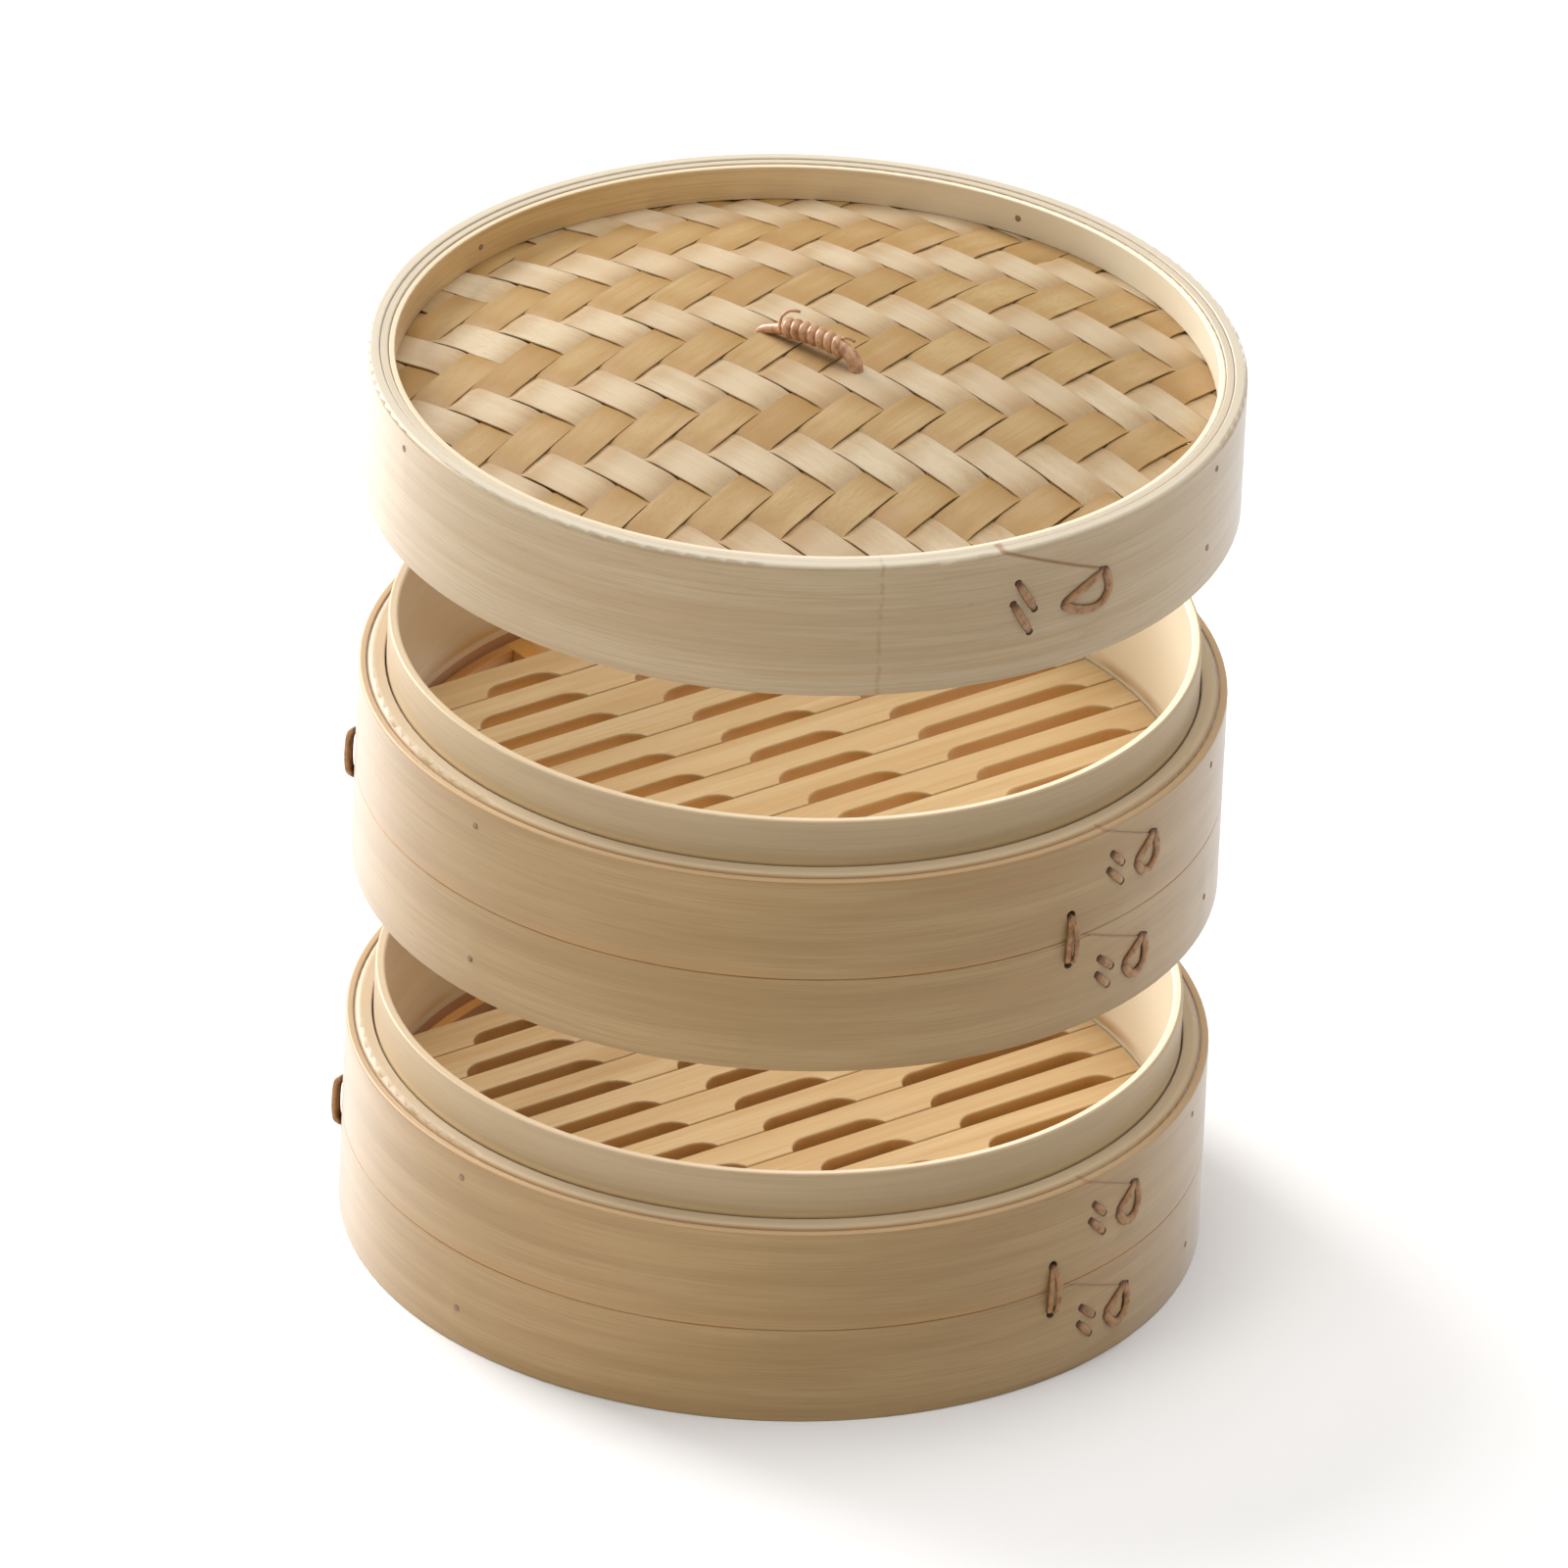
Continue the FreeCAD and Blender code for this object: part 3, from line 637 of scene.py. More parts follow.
def tier_wall(tier, name, sheen, planed_and_top_light):
    """Finish of a tier's walls: pale inside with painted light on its right, painted light on the lip above
    the shoulder, painted shade under the floor, stained in the seam, with the edge of each lapped end.
    """
    tints = colours()
    foot = TIER_FOOT[tier]
    shades = (tints.wall_pale, tints.wall_honey)
    finish, grain = wall_finish(name, *shades, streak_share=0.5, sheen=sheen, planed_and_top_light=planed_and_top_light)
    inner_face = finish.under(grain.radius, LIP_RADIUS - FACE_DEPTH)
    finish.stain(inner_face, share=0.3, colour=tints.inner_pale_and_light)
    # Painted light: the inside is lightened towards the right, where the key light falls on it
    paler = finish.times(inner_face, painted_light_side(finish, grain))
    finish.stain(paler, share=0.85, colour=tints.inner_pale_and_light)
    patches = grain.spots(SEAM_PATCHES)
    seam = grain.level(foot + BOTTOM_BAND_TOP, below=1.2 * MM, above=4.5 * MM)
    finish.stain(finish.times(seam, patches), share=0.8, colour=tints.streak)
    before_lip = finish.under(grain.radius, LIP_RADIUS + LIP_REACH)
    lip = finish.times(before_lip, finish.over(grain.radius, LIP_RADIUS - FACE_DEPTH))
    finish.stain(lip, share=0.2, colour=tints.inner_pale_and_light)
    # Painted light: the lip just above the shoulder is lightened with the linings' pale colour, against the
    # shade in the groove between them
    shoulder = grain.level(foot + SHOULDER + 0.3 * MM, below=0.6 * MM, above=2.2 * MM)
    finish.stain(finish.times(shoulder, lip), share=0.6, colour=tints.lining_pale)
    edge = grain.level(foot + TOP_BAND_TOP, below=1.4 * MM, above=0.6 * MM)
    band = finish.over(grain.radius, MIDDLE_RADIUS - FACE_DEPTH)
    finish.stain(finish.times(edge, band), share=0.55, colour=tints.streak)
    for lap, top in ((TOP_LAP, TOP_BAND_TOP), (BOTTOM_LAP, BOTTOM_BAND_TOP)):
        start, end = ((azimuth, foot + top - drop) for azimuth, drop in lap)
        finish.stain(grain.mark(start, end, width=0.75 * MM), share=0.6)
    # Painted shade: the inside of the wall under the floor is darkened
    below_floor = finish.under(grain.height, foot + FLOOR_TOP - RECESS)
    inside = finish.under(grain.radius, MIDDLE_RADIUS - RECESS)
    finish.stain(finish.times(below_floor, inside), share=0.8, colour=tints.under_floor_shade)
    return finish.close(depth=FIBRE_DEPTH, strength=0.35)


def lid_wall():
    """Finish of the lid's walls: paler, with a whitened rim that is partly the cut edge's own colour and
    partly painted light on its top, the scar of a bamboo joint and the edge of the lapped end.
    """
    tints = colours()
    shades = (tints.lid_pale, tints.lid_honey)
    finish, grain = wall_finish("lid_wall", *shades, sheen=0.85, planed_and_top_light=0.0)
    # The rim's top is whitened: partly the paler cut edge, partly painted light from above
    rim = grain.level(LID_RIM, below=1.2 * MM, above=1.0 * MM)
    finish.stain(rim, share=0.5, colour=tints.planed_lid_and_top_light)
    scar = finish.times(grain.upright(JOINT_SCAR, width=1.1 * MM), grain.spots(SCAR_BLOTCHES))
    finish.stain(scar, share=0.35)
    finish.stain(grain.spots(BRUISES), share=0.3, colour=tints.bruise)
    start, end = ((azimuth, LID_RIM - drop) for azimuth, drop in LID_LAP)
    finish.stain(grain.mark(start, end, width=0.85 * MM), share=0.75)
    return finish.close(depth=FIBRE_DEPTH, strength=0.35)


def lining_finish():
    """Finish of the lid's linings, warmer than its walls, with painted light on their right where the key
    light falls.
    """
    tints = colours()
    shades = (tints.lining_pale, tints.lining_honey)
    finish, grain = wall_finish("lid_lining", *shades, sheen=0.2)
    # Painted light on the lining's right, where the key light falls
    finish.stain(painted_light_side(finish, grain), share=0.9, colour=tints.inner_pale_and_light)
    return finish.close(depth=FIBRE_DEPTH)


class Floats:
    """Stretches of a woven strip over the other layer: two crossings long, with two hidden between. Near its
    ends a stretch takes painted shade where the strip dips under, and its middle a painted highlight for the
    bulge.
    """

    def __init__(self, finish, grain, pitch, crossed_bearing, crossed_shift, centre):
        x, y, _ = finish.split(finish.place)
        forward = finish.times(y, math.cos(crossed_bearing))
        across = finish.math("SUBTRACT", forward, finish.times(x, math.sin(crossed_bearing)))
        crossing = finish.math("DIVIDE", finish.math("SUBTRACT", across, crossed_shift), pitch)
        phase = finish.math("ADD", finish.math("ADD", grain.strip, crossing), WEAVE_REPEAT / 2 - centre)
        turn = finish.math("FLOORED_MODULO", phase, WEAVE_REPEAT)
        from_middle = finish.math("ABSOLUTE", finish.math("SUBTRACT", turn, WEAVE_REPEAT / 2))
        # Near the ends of a stretch: where the painted shade goes, as the strip dips under the other layer
        self.end = finish.span(from_middle, low=0.15, high=1.0)
        number = finish.math("FLOOR", finish.math("DIVIDE", phase, WEAVE_REPEAT))
        self.chance = finish.dice(finish.math("ADD", number, finish.times(grain.strip, FLOAT_SPREAD)))


def slat_finish(name, pale, honey, bearing, pitch, middle, tops=(), rosy=0.0, floats=None):
    """Planed bamboo in straight strips side by side, each a little darker or lighter than the next, with a
    painted highlight on the middle of each woven float and painted shade at its ends, and sawn sides
    darkened both for their own colour and as painted shade in the slots.
    """
    tints = colours()
    finish = Finish(name, roughness=0.5, specular=0.4)
    grain = StraightGrain(finish, bearing, pitch, middle)
    bamboo_colour(finish, grain, pale, honey, streak_share=0.3)
    finish.stain(finish.dice(grain.strip), share=0.5, colour=toned(honey, STRIP_TONE))
    if rosy:
        finish.stain(grain.spots(ROSY_PATCHES), rosy, tints.rosy)
    if floats:
        *crossed, highlight_share = floats
        lying = Floats(finish, grain, pitch, *crossed)
        deep_tone_and_shade = toned(honey, DEEP_AND_SHADE_TONE)
        painted_highlight = toned([1.0 - (1.0 - channel) * HIGHLIGHT_GAP for channel in pale], HIGHLIGHT_TONE)
        finish.stain(finish.span(lying.chance, low=0.65, high=1.0), share=0.5, colour=deep_tone_and_shade)
        # Painted highlight on the middle of each float, painted shade at its ends
        finish.stain(finish.rest(lying.end), highlight_share, painted_highlight)
        finish.stain(lying.end, share=0.42, colour=deep_tone_and_shade)
    # Sawn sides: their own darker colour plus painted shade of the slots
    for height in tops:
        side = grain.band(height - SLAT_SIDE, height - SLAT_EDGE)
        finish.stain(side, share=0.85, colour=tints.slat_side_and_shade)
    return finish.close(depth=FIBRE_DEPTH)


class STEAMER_OT_walls(bpy.types.Operator):
    """Gives the bent hoops, bands and linings their bamboo finish"""

    bl_idname = "steamer.walls"
    bl_label = "Walls"

    def execute(self, context):
        for tier in TIERS:
            wall = tier_wall(tier, f"{tier}_wall", sheen=0.8, planed_and_top_light=0.35)
            for piece in ("middle_hoop", "top_band", "bottom_band"):
                dress_node(f"{tier}_{piece}", wall)
            inner_wall = tier_wall(tier, f"{tier}_inner_wall", sheen=0.15, planed_and_top_light=0.15)
            dress_node(f"{tier}_inner_hoop", inner_wall)
        wall = lid_wall()
        lining = lining_finish()
        for node in ("lid_outer_hoop", "lid_middle_hoop"):
            dress_node(node, wall)
        for node in ("lid_upper_lining", "lid_lower_lining"):
            dress_node(node, lining)
        return {"FINISHED"}


def across(point, bearing):
    """Distance of a point from the axis, square to a bearing."""
    return point.y * math.cos(bearing) - point.x * math.sin(bearing)


class STEAMER_OT_floors(bpy.types.Operator):
    """Gives the floor slats, the battens and the ledge hoops their bamboo finish"""

    bl_idname = "steamer.floors"
    bl_label = "Floors"

    def execute(self, context):
        tints = colours()
        reach = []
        for node in ("lower_slat_01", "lower_slat_02"):
            offsets = [across(vertex.co, SLAT_BEARING) for vertex in NODES[node].data.vertices]
            reach.append((min(offsets), max(offsets)))
        pitch = reach[0][1] - reach[1][1]
        middle = sum(reach[0]) / 2
        tops = [foot + FLOOR_TOP for foot in TIER_FOOT.values()]
        slats = slat_finish("slats", tints.slat_pale, tints.slat_honey, SLAT_BEARING, pitch, middle, tops)
        square = SLAT_BEARING + math.pi / 2
        battens = slat_finish("battens", tints.slat_honey, tints.slat_side_and_shade, square, pitch, 0.0)
        # The ledge under the floor is coloured darker as painted shade
        shades = (tints.under_floor_shade, tints.slat_side_and_shade)
        finish, _ = wall_finish("ledge", *shades, sheen=0.2, planed_and_top_light=0.0)
        ledge = finish.close(depth=FIBRE_DEPTH)
        for tier in TIERS:
            for node in NODES:
                if node.startswith(f"{tier}_slat"):
                    dress_node(node, slats)
            dress_node(f"{tier}_batten_left", battens)
            dress_node(f"{tier}_batten_right", battens)
            dress_node(f"{tier}_floor_ledge", ledge)
        return {"FINISHED"}


# Woven panel

SEED = 7
DOME_CUTS = 240
STRIP_CUTS = 8
STRIP_STEP = 1.5 * MM
STRIP_OVERHANG = 2 * MM
PANEL_CUTS = 72
PANEL_GAP = 0.3 * MM
WEAVE_DROP = 0.47 * MM
STRIP_BEVEL = 0.12 * MM


def add_dome(sizes, middle_z):
    """Sphere that the middle of the weave lies on."""
    radius = (LINING_RADIUS**2 + sizes.rise**2) / (2 * sizes.rise)
    bpy.ops.mesh.primitive_uv_sphere_add(
        segments=DOME_CUTS,
        ring_count=DOME_CUTS,
        radius=radius,
        location=(0, 0, middle_z - radius),
        rotation=(math.pi / 2, 0, 0),
    )
    return settle(added("dome_form"))


def strip_layer(name, sizes, bearing, shift, chance):
    """Flat strips side by side, trimmed to the edge of the panel, each strayed and turned a little."""
    reach = LINING_RADIUS + sizes.width / 2
    first = math.ceil((-reach - shift) / sizes.pitch)
    last = math.floor((reach - shift) / sizes.pitch)
    bpy.ops.mesh.primitive_grid_add(
        x_subdivisions=2 * round(LINING_RADIUS / STRIP_STEP),
        y_subdivisions=STRIP_CUTS,
        size=1,
        location=(0, shift + first * sizes.pitch, PANEL_TOP),
    )
    layer = added(name)
    layer.scale = (2 * LINING_RADIUS + 2 * STRIP_OVERHANG, sizes.width, 1)
    settle(layer)
    finished_with(
        layer,
        "ARRAY",
        count=last - first + 1,
        use_relative_offset=False,
        use_constant_offset=True,
        constant_offset_displace=(0, sizes.pitch, 0),
    )
    for strip in range(first, last + 1):
        centre = shift + strip * sizes.pitch
        pick_vertices(layer, lambda place: abs(place.y - centre) < sizes.pitch / 2)
        bpy.ops.transform.translate(value=(0, chance.uniform(-1, 1) * sizes.wander, 0))
        bpy.ops.transform.rotate(
            value=chance.uniform(-1, 1) * sizes.wander / LINING_RADIUS,
            orient_axis="Z",
            center_override=(0, centre, PANEL_TOP),
        )
        end_edit()
    layer.rotation_euler.z = bearing
    edit_all(settle(layer))
    edge = LINING_RADIUS - PANEL_GAP
    for step in range(PANEL_CUTS):
        turn = 2 * math.pi * step / PANEL_CUTS
        outward = (math.cos(turn), math.sin(turn), 0)
        place = (edge * outward[0], edge * outward[1], 0)
        bpy.ops.mesh.select_all(action="SELECT")
        bpy.ops.mesh.bisect(plane_co=place, plane_no=outward, clear_outer=True)
    end_edit()
    return layer


def weave(layer, dome, sizes, is_over):
    """Lays the strips on the dome, lifts or sinks them at each crossing and gives them their thickness."""
    finished_with(
        layer,
        "SHRINKWRAP",
        target=dome,
        wrap_method="PROJECT",
        use_project_z=True,
        use_negative_direction=True,
        use_positive_direction=True,
    )
    for lift in (sizes.swing, -sizes.swing):
        pick_vertices(layer, lambda place: is_over(place) == (lift > 0))
        bpy.ops.transform.translate(value=(0, 0, lift))
        end_edit()
    edit_all(layer)
    bpy.ops.mesh.vertices_smooth(factor=0.5, repeat=6, xaxis=False, yaxis=False, zaxis=True)
    end_edit()
    finished_with(layer, "SOLIDIFY", thickness=sizes.thickness, offset=0.0)
    corner = math.radians(50)
    finished_with(
        layer, "BEVEL", width=STRIP_BEVEL, segments=1, limit_method="ANGLE", angle_limit=corner
    )
    return smooth(layer)


class STEAMER_OT_panel(bpy.types.Operator):
    """Weaves the lid's domed panel from two layers of strips, each over two and under two of the other"""

    bl_idname = "steamer.panel"
    bl_label = "Woven panel"

    def execute(self, context):
        sizes = context.scene.steamer_panel
        tints = colours()
        chance = random.Random(SEED)
        dome = add_dome(sizes, (PANEL_TOP + CROWN) / 2 - WEAVE_DROP)
        light = (sizes.light_bearing, sizes.light_shift)
        golden = (sizes.golden_bearing, sizes.golden_shift)

        def light_over(place):
            """Whether the light strip is the upper one where two strips cross."""
            ways = (light, golden)
            strips = [round((across(place, bearing) - shift) / sizes.pitch) for bearing, shift in ways]
            return sum(strips) % WEAVE_REPEAT in LIGHT_ON_TOP

        def golden_over(place):
            """Whether the golden strip is the upper one."""
            return not light_over(place)

        light_shades = (tints.light_pale, tints.light_honey)
        golden_shades = (tints.golden_pale, tints.golden_honey)
        light_floats = (*golden, *LIGHT_FLOATS)
        golden_floats = (*light, *GOLDEN_FLOATS)
        for slot, way, is_over, shades, floats in (
            ("light_strip", light, light_over, light_shades, light_floats),
            ("golden_strip", golden, golden_over, golden_shades, golden_floats),
        ):
            name = f"woven_{slot}s"
            node = f"lid_{slot}s"
            bearing, shift = way
            layer = strip_layer(name, sizes, bearing, shift, chance)
            weave(layer, dome, sizes, is_over)
            finish = slat_finish(name, *shades, bearing, sizes.pitch, shift, rosy=0.4, floats=floats)
            dress(layer, finish)
            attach(layer, "lid")
            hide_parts(node)
        bpy.data.objects.remove(dome)
        return {"FINISHED"}


# Cane

CANE_RADIUS = 1.25 * MM
CANE_FLATNESS = 0.62
LOOP_RADIUS = 1.5 * MM
TIE_RADIUS = 0.85 * MM
TIE_GIRTHS = (1.4, 1.15, 1.0, 1.0, 1.15, 1.4)
TIE_AZIMUTHS = (41.0, -89.0, 161.0)
TIE_SINK = 2.4 * MM
TIE_TUCK = 0.3 * MM

# The two turns of a tie: lean to the side, stand-off from the wall, and reach above and below the seam
TIE_TURNS = ((1.0 * MM, 2.3 * MM, 7.4 * MM), (-0.9 * MM, 1.3 * MM, 7.0 * MM))

# Stitches point by point, each point an azimuth in degrees and a drop in mm from the top of the band
TOP_STITCHES = {
    "short": (((48.1, 9.2), (50.2, 13.9)), ((47.5, 14.2), (50.2, 20.1))),
    "loop": (
        ((56.7, 9.4), (52.9, 15.9)),
        ((53.0, 16.2), (54.4, 20.6), (56.4, 21.0), (57.7, 15.8), (56.9, 9.8)),
    ),
}
BOTTOM_STITCHES = {
    "short": (((46.5, 10.3), (49.0, 15.0)), ((46.2, 15.6), (48.4, 20.6))),
    "loop": (
        ((55.3, 10.2), (51.3, 16.3)),
        ((51.4, 16.6), (52.8, 21.2), (54.8, 21.6), (56.2, 16.4), (55.5, 10.6)),
    ),
}
LID_STITCHES = {
    "short": (((29.6, 11.1), (32.2, 20.7)), ((29.0, 17.7), (31.6, 27.9))),
    "loop": (
        ((43.2, 14.8), (36.4, 21.8)),
        ((36.5, 22.0), (39.6, 25.8), (42.8, 26.4), (44.4, 21.4), (43.4, 15.0)),
    ),
}


def strand(name, route, radius, girths=None):
    """Closed round strand along a smooth route, with a girth for each of its points if it isn't even."""
    bpy.ops.curve.primitive_nurbs_path_add()
    piece = added(name)
    piece.data.splines.clear()
    spline = piece.data.splines.new("NURBS")
    spline.points.add(len(route) - 1)
    for point, place, girth in zip(spline.points, route, girths or [1.0] * len(route)):
        point.co = (*place, 1.0)
        point.radius = girth
    spline.order_u = 3
    spline.use_endpoint_u = True
    spline.resolution_u = 8
    piece.data.bevel_depth = radius
    piece.data.bevel_resolution = 3
    piece.data.use_fill_caps = True
    piece.location = (0, 0, 0)
    select_only(piece)
    bpy.ops.object.convert(target="MESH")
    edit_all(settle(piece))
    bpy.ops.mesh.remove_doubles(threshold=0.01 * MM)
    bpy.ops.mesh.normals_make_consistent(inside=False)
    end_edit()
    return piece


def flattened(piece, share):
    """Presses a piece that lies on the plane y = 0 towards it."""
    edit_all(piece)
    bpy.ops.transform.resize(value=(1, share, 1), center_override=(0, 0, 0))
    end_edit()
    return piece


def bent_round(piece, radius):
    """Bends a piece laid out flat at y = 0 round the axis, so that x is the arc from the front."""
    reach = [vertex.co.x for vertex in piece.data.vertices]
    turn = (max(reach) - min(reach)) / radius
    finished_with(piece, "SIMPLE_DEFORM", deform_method="BEND", deform_axis="Z", angle=turn)
    piece.location.y = -radius
    return settle(piece)


def stitch(name, places, top, radius, girth, rise=1.0 * MM, sink=2.2 * MM):
    """Strand laid flat over the wall between two holes, through places below the band's top."""
    spots = [(radius * math.radians(azimuth), top - drop * MM) for azimuth, drop in places]
    route = [(spots[0][0], sink, spots[0][1])]
    route += [(x, -rise, z) for x, z in spots]
    route += [(spots[-1][0], sink, spots[-1][1])]
    return strand(name, route, girth)


def lacing(name, stitches, top, radius):
    """Every stitch of one lapped end, bent round its wall."""
    parts = [stitch(name, places, top, radius, CANE_RADIUS) for places in stitches["short"]]
    parts += [stitch(name, places, top, radius, LOOP_RADIUS) for places in stitches["loop"]]
    piece = flattened(joined(name, parts), CANE_FLATNESS)
    return smooth(bent_round(piece, radius))


def seam_tie_strands(name, azimuth, middle):
    """Two turns of cane through a pair of holes above and below the seam, standing off the wall."""
    x = TIER_RADIUS * math.radians(azimuth)
    parts = []
    for lean, out, reach in TIE_TURNS:
        route = [
            (x + 0.2 * lean, TIE_SINK, middle + reach + TIE_TUCK),
            (x + 0.3 * lean, -0.6 * out, middle + reach),
            (x + 0.8 * lean, -out, middle + 0.5 * reach),
            (x + 1.2 * lean, -out, middle - 0.5 * reach),
            (x + lean, -0.6 * out, middle - reach),
            (x + 0.6 * lean, TIE_SINK, middle - reach - TIE_TUCK),
        ]
        parts.append(strand(name, route, TIE_RADIUS, TIE_GIRTHS))
    return parts


def cane_finish(name, tone, roughness, wall_radius=None):
    """Split cane, darker and lighter by turns, and painted almost black with the shade of the hole where it
    passes into the wall.
    """
    finish = Finish(name, roughness=roughness, specular=0.55)
    dark = toned(tone, CANE_TONE)
    clouds = finish.noise(finish.scaled(finish.place, 1 / CLOUD_SIZE), CLOUD_SHIFT, detail=3.0)
    fibres = finish.noise(finish.scaled(finish.place, 1 / CANE_FIBRE_SIZE), CANE_FIBRE_SHIFT, detail=1.0)
    finish.colour = finish.mix(finish.span(clouds, low=0.40, high=0.72), opaque(tone), opaque(dark))
    finish.relief = clouds
    finish.stain(finish.span(fibres, low=0.5, high=0.7), share=0.3, colour=dark)
    if wall_radius:
        # Painted shade: the cane is darkened to almost black as it sinks into its hole
        sunk, clear = (wall_radius + height for height in HOLE_SHADE_FADE)
        hole_shade_mask = finish.rest(finish.span(HoopGrain(finish).radius, sunk, clear))
        finish.stain(hole_shade_mask, share=1.0, colour=colours().cane_hole_shade)
    return finish.close(depth=CLOUD_DEPTH)


class STEAMER_OT_lacing(bpy.types.Operator):
    """Laces the lapped ends of the bands with flat cane and ties the two bands of each tier together"""

    bl_idname = "steamer.lacing"
    bl_label = "Lacing"

    def execute(self, context):
        tints = colours()
        cane = cane_finish("tier_cane", tints.cane, roughness=0.45, wall_radius=TIER_RADIUS)
        for tier, body in TIERS.items():
            top = TIER_FOOT[tier] + TOP_BAND_TOP
            seam = TIER_FOOT[tier] + BOTTOM_BAND_TOP
            pieces = {
                "top_lacing": lacing(f"{tier}_top_cane", TOP_STITCHES, top, TIER_RADIUS),
                "bottom_lacing": lacing(f"{tier}_bottom_cane", BOTTOM_STITCHES, seam, TIER_RADIUS),
            }
            name = f"{tier}_tie_cane"
            strands = []
            for azimuth in TIE_AZIMUTHS:
                strands += seam_tie_strands(name, azimuth, seam)
            pieces["seam_ties"] = smooth(bent_round(joined(name, strands), TIER_RADIUS))
            for node, piece in pieces.items():
                dress(piece, cane)
                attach(piece, body)
                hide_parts(f"{tier}_{node}")
        piece = lacing("lid_cane", LID_STITCHES, LID_RIM, LID_RADIUS)
        dress(piece, cane_finish("lid_cane", tints.cane, roughness=0.45, wall_radius=LID_RADIUS))
        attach(piece, "lid")
        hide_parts("lid_lacing")
        return {"FINISHED"}


# Handle, along its arch, across it and up from the crown of the panel, with its routes in millimetres

HANDLE_BEARING = math.radians(-38.5)
HANDLE_RADIUS = 1.9 * MM
HANDLE_ROUTE = (
    (-18.8, -1.6), (-18.0, 0.9), (-12.0, 3.3), (-3.0, 5.9),
    (7.0, 6.9), (14.5, 6.2), (18.2, 2.5), (18.4, -1.6),
)
HANDLE_GIRTHS = (0.7, 0.75, 0.9, 1.0, 1.0, 1.1, 1.25, 1.1)
HANDLE_TOP = 6.35 * MM
HANDLE_PEAK = 5.0 * MM
HANDLE_SWEEP = 62.0 * MM
WRAP_TURNS = 7
WRAP_START = -9.0 * MM
WRAP_END = 12.5 * MM
WRAP_RADIUS = 1.45 * MM
WRAP_SINK = 0.1 * MM
TAIL_RADIUS = 0.45 * MM
TURN_POINTS = 12
WRAP_TAILS = (
    ((-9.0, -2.4, 4.5), (-10.0, -1.2, 7.6), (-9.4, 0.8, 9.2), (-8.0, 2.6, 9.8), (-6.2, 3.6, 9.4)),
    ((11.0, 0.0, 8.2), (13.0, 0.8, 9.2), (14.6, 1.8, 8.8), (15.4, 2.4, 8.0)),
)


def placed_on_crown(piece):
    """Turns a piece made along X about the axis and lifts it to the crown of the panel."""
    piece.rotation_euler.z = HANDLE_BEARING
    piece.location.z = CROWN
    return settle(piece)


def winding(turns, start, end, arch, radius):
    """Points of a strand wound round an arch, from one place along it to another."""
    steps = turns * TURN_POINTS
    points = []
    for step in range(steps + 1):
        along = start + (end - start) * step / steps
        turn = 2 * math.pi * step / TURN_POINTS - math.pi / 2
        points.append((along, radius * math.cos(turn), arch(along) + radius * math.sin(turn)))
    return points


class STEAMER_OT_handle(bpy.types.Operator):
    """Makes the lid's handle: a cane arch through the panel, wound with a thinner strand with loose ends"""

    bl_idname = "steamer.handle"
    bl_label = "Handle"

    def execute(self, context):
        arch_route = [(x * MM, 0.0, z * MM) for x, z in HANDLE_ROUTE]
        core = placed_on_crown(strand("handle_arch", arch_route, HANDLE_RADIUS, HANDLE_GIRTHS))

        def arch(along):
            """Height of the arch's middle line where it is wound."""
            return HANDLE_TOP - (along - HANDLE_PEAK) ** 2 / (2 * HANDLE_SWEEP)

        coil = winding(WRAP_TURNS, WRAP_START, WRAP_END, arch, HANDLE_RADIUS - WRAP_SINK)
        parts = [strand("handle_winding", coil, WRAP_RADIUS)]
        for tail in WRAP_TAILS:
            route = [(x * MM, y * MM, z * MM) for x, y, z in tail]
            parts.append(strand("handle_winding", route, TAIL_RADIUS))
        wrap = placed_on_crown(joined("handle_winding", parts))
        finish = cane_finish("handle_cane", colours().handle, roughness=0.38)
        for piece, node in ((core, "lid_handle_core"), (wrap, "lid_handle_wrap")):
            smooth(piece, degrees=60)
            dress(piece, finish)
            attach(piece, "lid")
            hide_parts(node)
        return {"FINISHED"}


# Pegs


class STEAMER_OT_pegs(bpy.types.Operator):
    """Gives the pegs their end-grain finish"""

    bl_idname = "steamer.pegs"
    bl_label = "Pegs"

    def execute(self, context):
        finish = cane_finish("peg_end", colours().peg, roughness=0.7)
        for node in NODES:
            if node.endswith("pegs"):
                dress_node(node, finish)
        return {"FINISHED"}


# Stage


def aim(piece, place, target, roll=0.0):
    """Places a light or camera and turns it to a point."""
    piece.location = place
    sight = (Vector(target) - Vector(place)).to_track_quat("-Z", "Y")
    piece.rotation_mode = "QUATERNION"
    piece.rotation_quaternion = sight @ Quaternion((0, 0, 1), roll)


def add_softbox(name, place, target, size, power, colour, level):
    """Square soft light aimed at a point, lighting and blocked by one level's pieces alone."""
    bpy.ops.object.light_add(type="AREA")
    light = bpy.context.object
    light.name = name
    light.data.size = size
    light.data.energy = power
    light.data.color = colour
    light.light_linking.receiver_collection = level
    light.light_linking.blocker_collection = level
    aim(light, place, target)


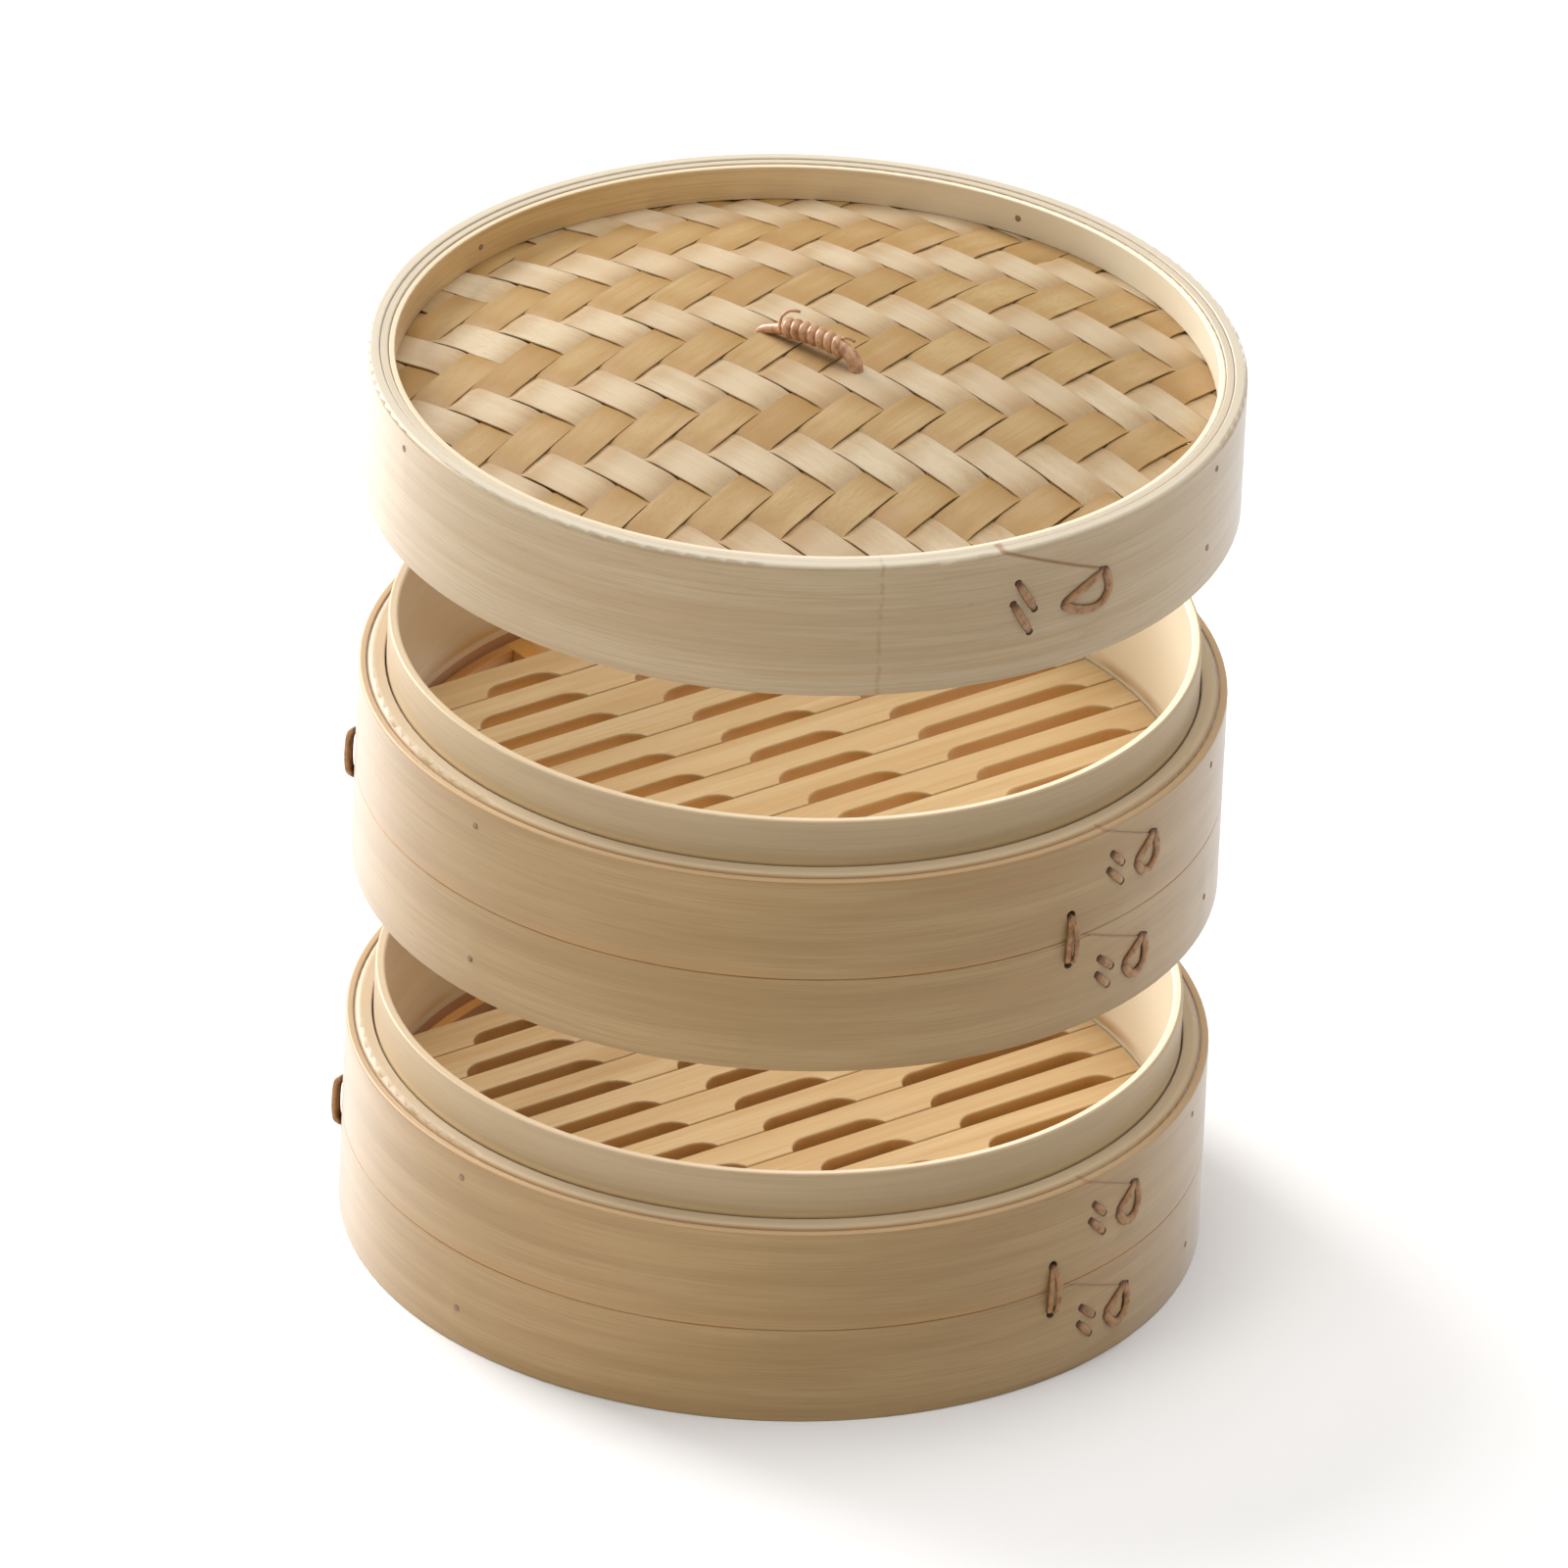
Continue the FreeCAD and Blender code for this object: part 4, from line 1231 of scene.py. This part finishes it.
class STEAMER_OT_stage(bpy.types.Operator):
    """Adds the pale floor, the soft lights and the camera"""

    bl_idname = "steamer.stage"
    bl_label = "Stage"

    def execute(self, context):
        settings = context.scene.steamer_stage
        bpy.ops.object.select_all(action="DESELECT")
        bpy.ops.mesh.primitive_plane_add(size=settings.floor_size, location=(0, 0, -FLOOR_GAP))
        floor = settle(added("floor"))
        paper = Finish("floor_paper", roughness=0.9, specular=0.1)
        paper.shader.inputs["Base Color"].default_value = opaque(FLOOR_TINT)
        dress(floor, paper.material)
        floor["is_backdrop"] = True
        for body in frame["bodies"]:
            pieces = [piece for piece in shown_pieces() if body in body_of(piece)]
            level = bpy.data.collections.new(f"{body}_level")
            for piece in [*pieces, floor] if body == ROOT else pieces:
                level.objects.link(piece)
            top = max(corner[2] for piece in pieces for corner in piece.bound_box)
            for name, (place, size, colour) in SOFTBOXES.items():
                watts = getattr(settings, f"{name}_power")
                add_softbox(f"{body}_{name}", place, (0.0, 0.0, top), size, watts, colour, level)
        world = bpy.data.worlds.new("studio")
        world.use_nodes = True
        background = world.node_tree.nodes["Background"]
        background.inputs["Color"].default_value = opaque(WORLD_TINT)
        background.inputs["Strength"].default_value = WORLD_STRENGTH
        context.scene.world = world
        bpy.ops.object.camera_add()
        camera = bpy.context.object
        camera.name = "camera"
        camera.data.lens = camera.data.sensor_width * settings.camera_distance / settings.field_width
        target = Vector(CAMERA_TARGET)
        back = Vector((0, -math.cos(settings.elevation), math.sin(settings.elevation)))
        aim(camera, target + back * settings.camera_distance, target, settings.roll)
        context.scene.camera = camera
        context.scene.view_settings.view_transform = "Standard"
        return {"FINISHED"}


class STEAMER_PT_sidebar(bpy.types.Panel):
    """Lists the steamer's operators"""

    bl_idname = "STEAMER_PT_sidebar"
    bl_label = "Bamboo steamer"
    bl_space_type = "VIEW_3D"
    bl_region_type = "UI"
    bl_category = "Steamer"

    def draw(self, context):
        for operator in OPERATORS:
            self.layout.operator(operator.bl_idname)


SETTINGS = {
    "steamer_colours": BambooColours,
    "steamer_panel": PanelSizes,
    "steamer_stage": StageSettings,
}
OPERATORS = (
    STEAMER_OT_walls,
    STEAMER_OT_floors,
    STEAMER_OT_panel,
    STEAMER_OT_lacing,
    STEAMER_OT_handle,
    STEAMER_OT_pegs,
    STEAMER_OT_stage,
)


def register():
    """Registers the settings, the operators and the sidebar panel."""
    for name, group in SETTINGS.items():
        bpy.utils.register_class(group)
        setattr(bpy.types.Scene, name, bpy.props.PointerProperty(type=group))
    for operator in OPERATORS:
        bpy.utils.register_class(operator)
    bpy.utils.register_class(STEAMER_PT_sidebar)


def unregister():
    """Takes away what register adds."""
    bpy.utils.unregister_class(STEAMER_PT_sidebar)
    for operator in reversed(OPERATORS):
        bpy.utils.unregister_class(operator)
    for name, group in SETTINGS.items():
        delattr(bpy.types.Scene, name)
        bpy.utils.unregister_class(group)


def main():
    """Builds the steamer round the frame."""
    register()
    for operator in OPERATORS:
        group, name = operator.bl_idname.split(".")
        getattr(getattr(bpy.ops, group), name)()


if __name__ == "__main__":
    main()
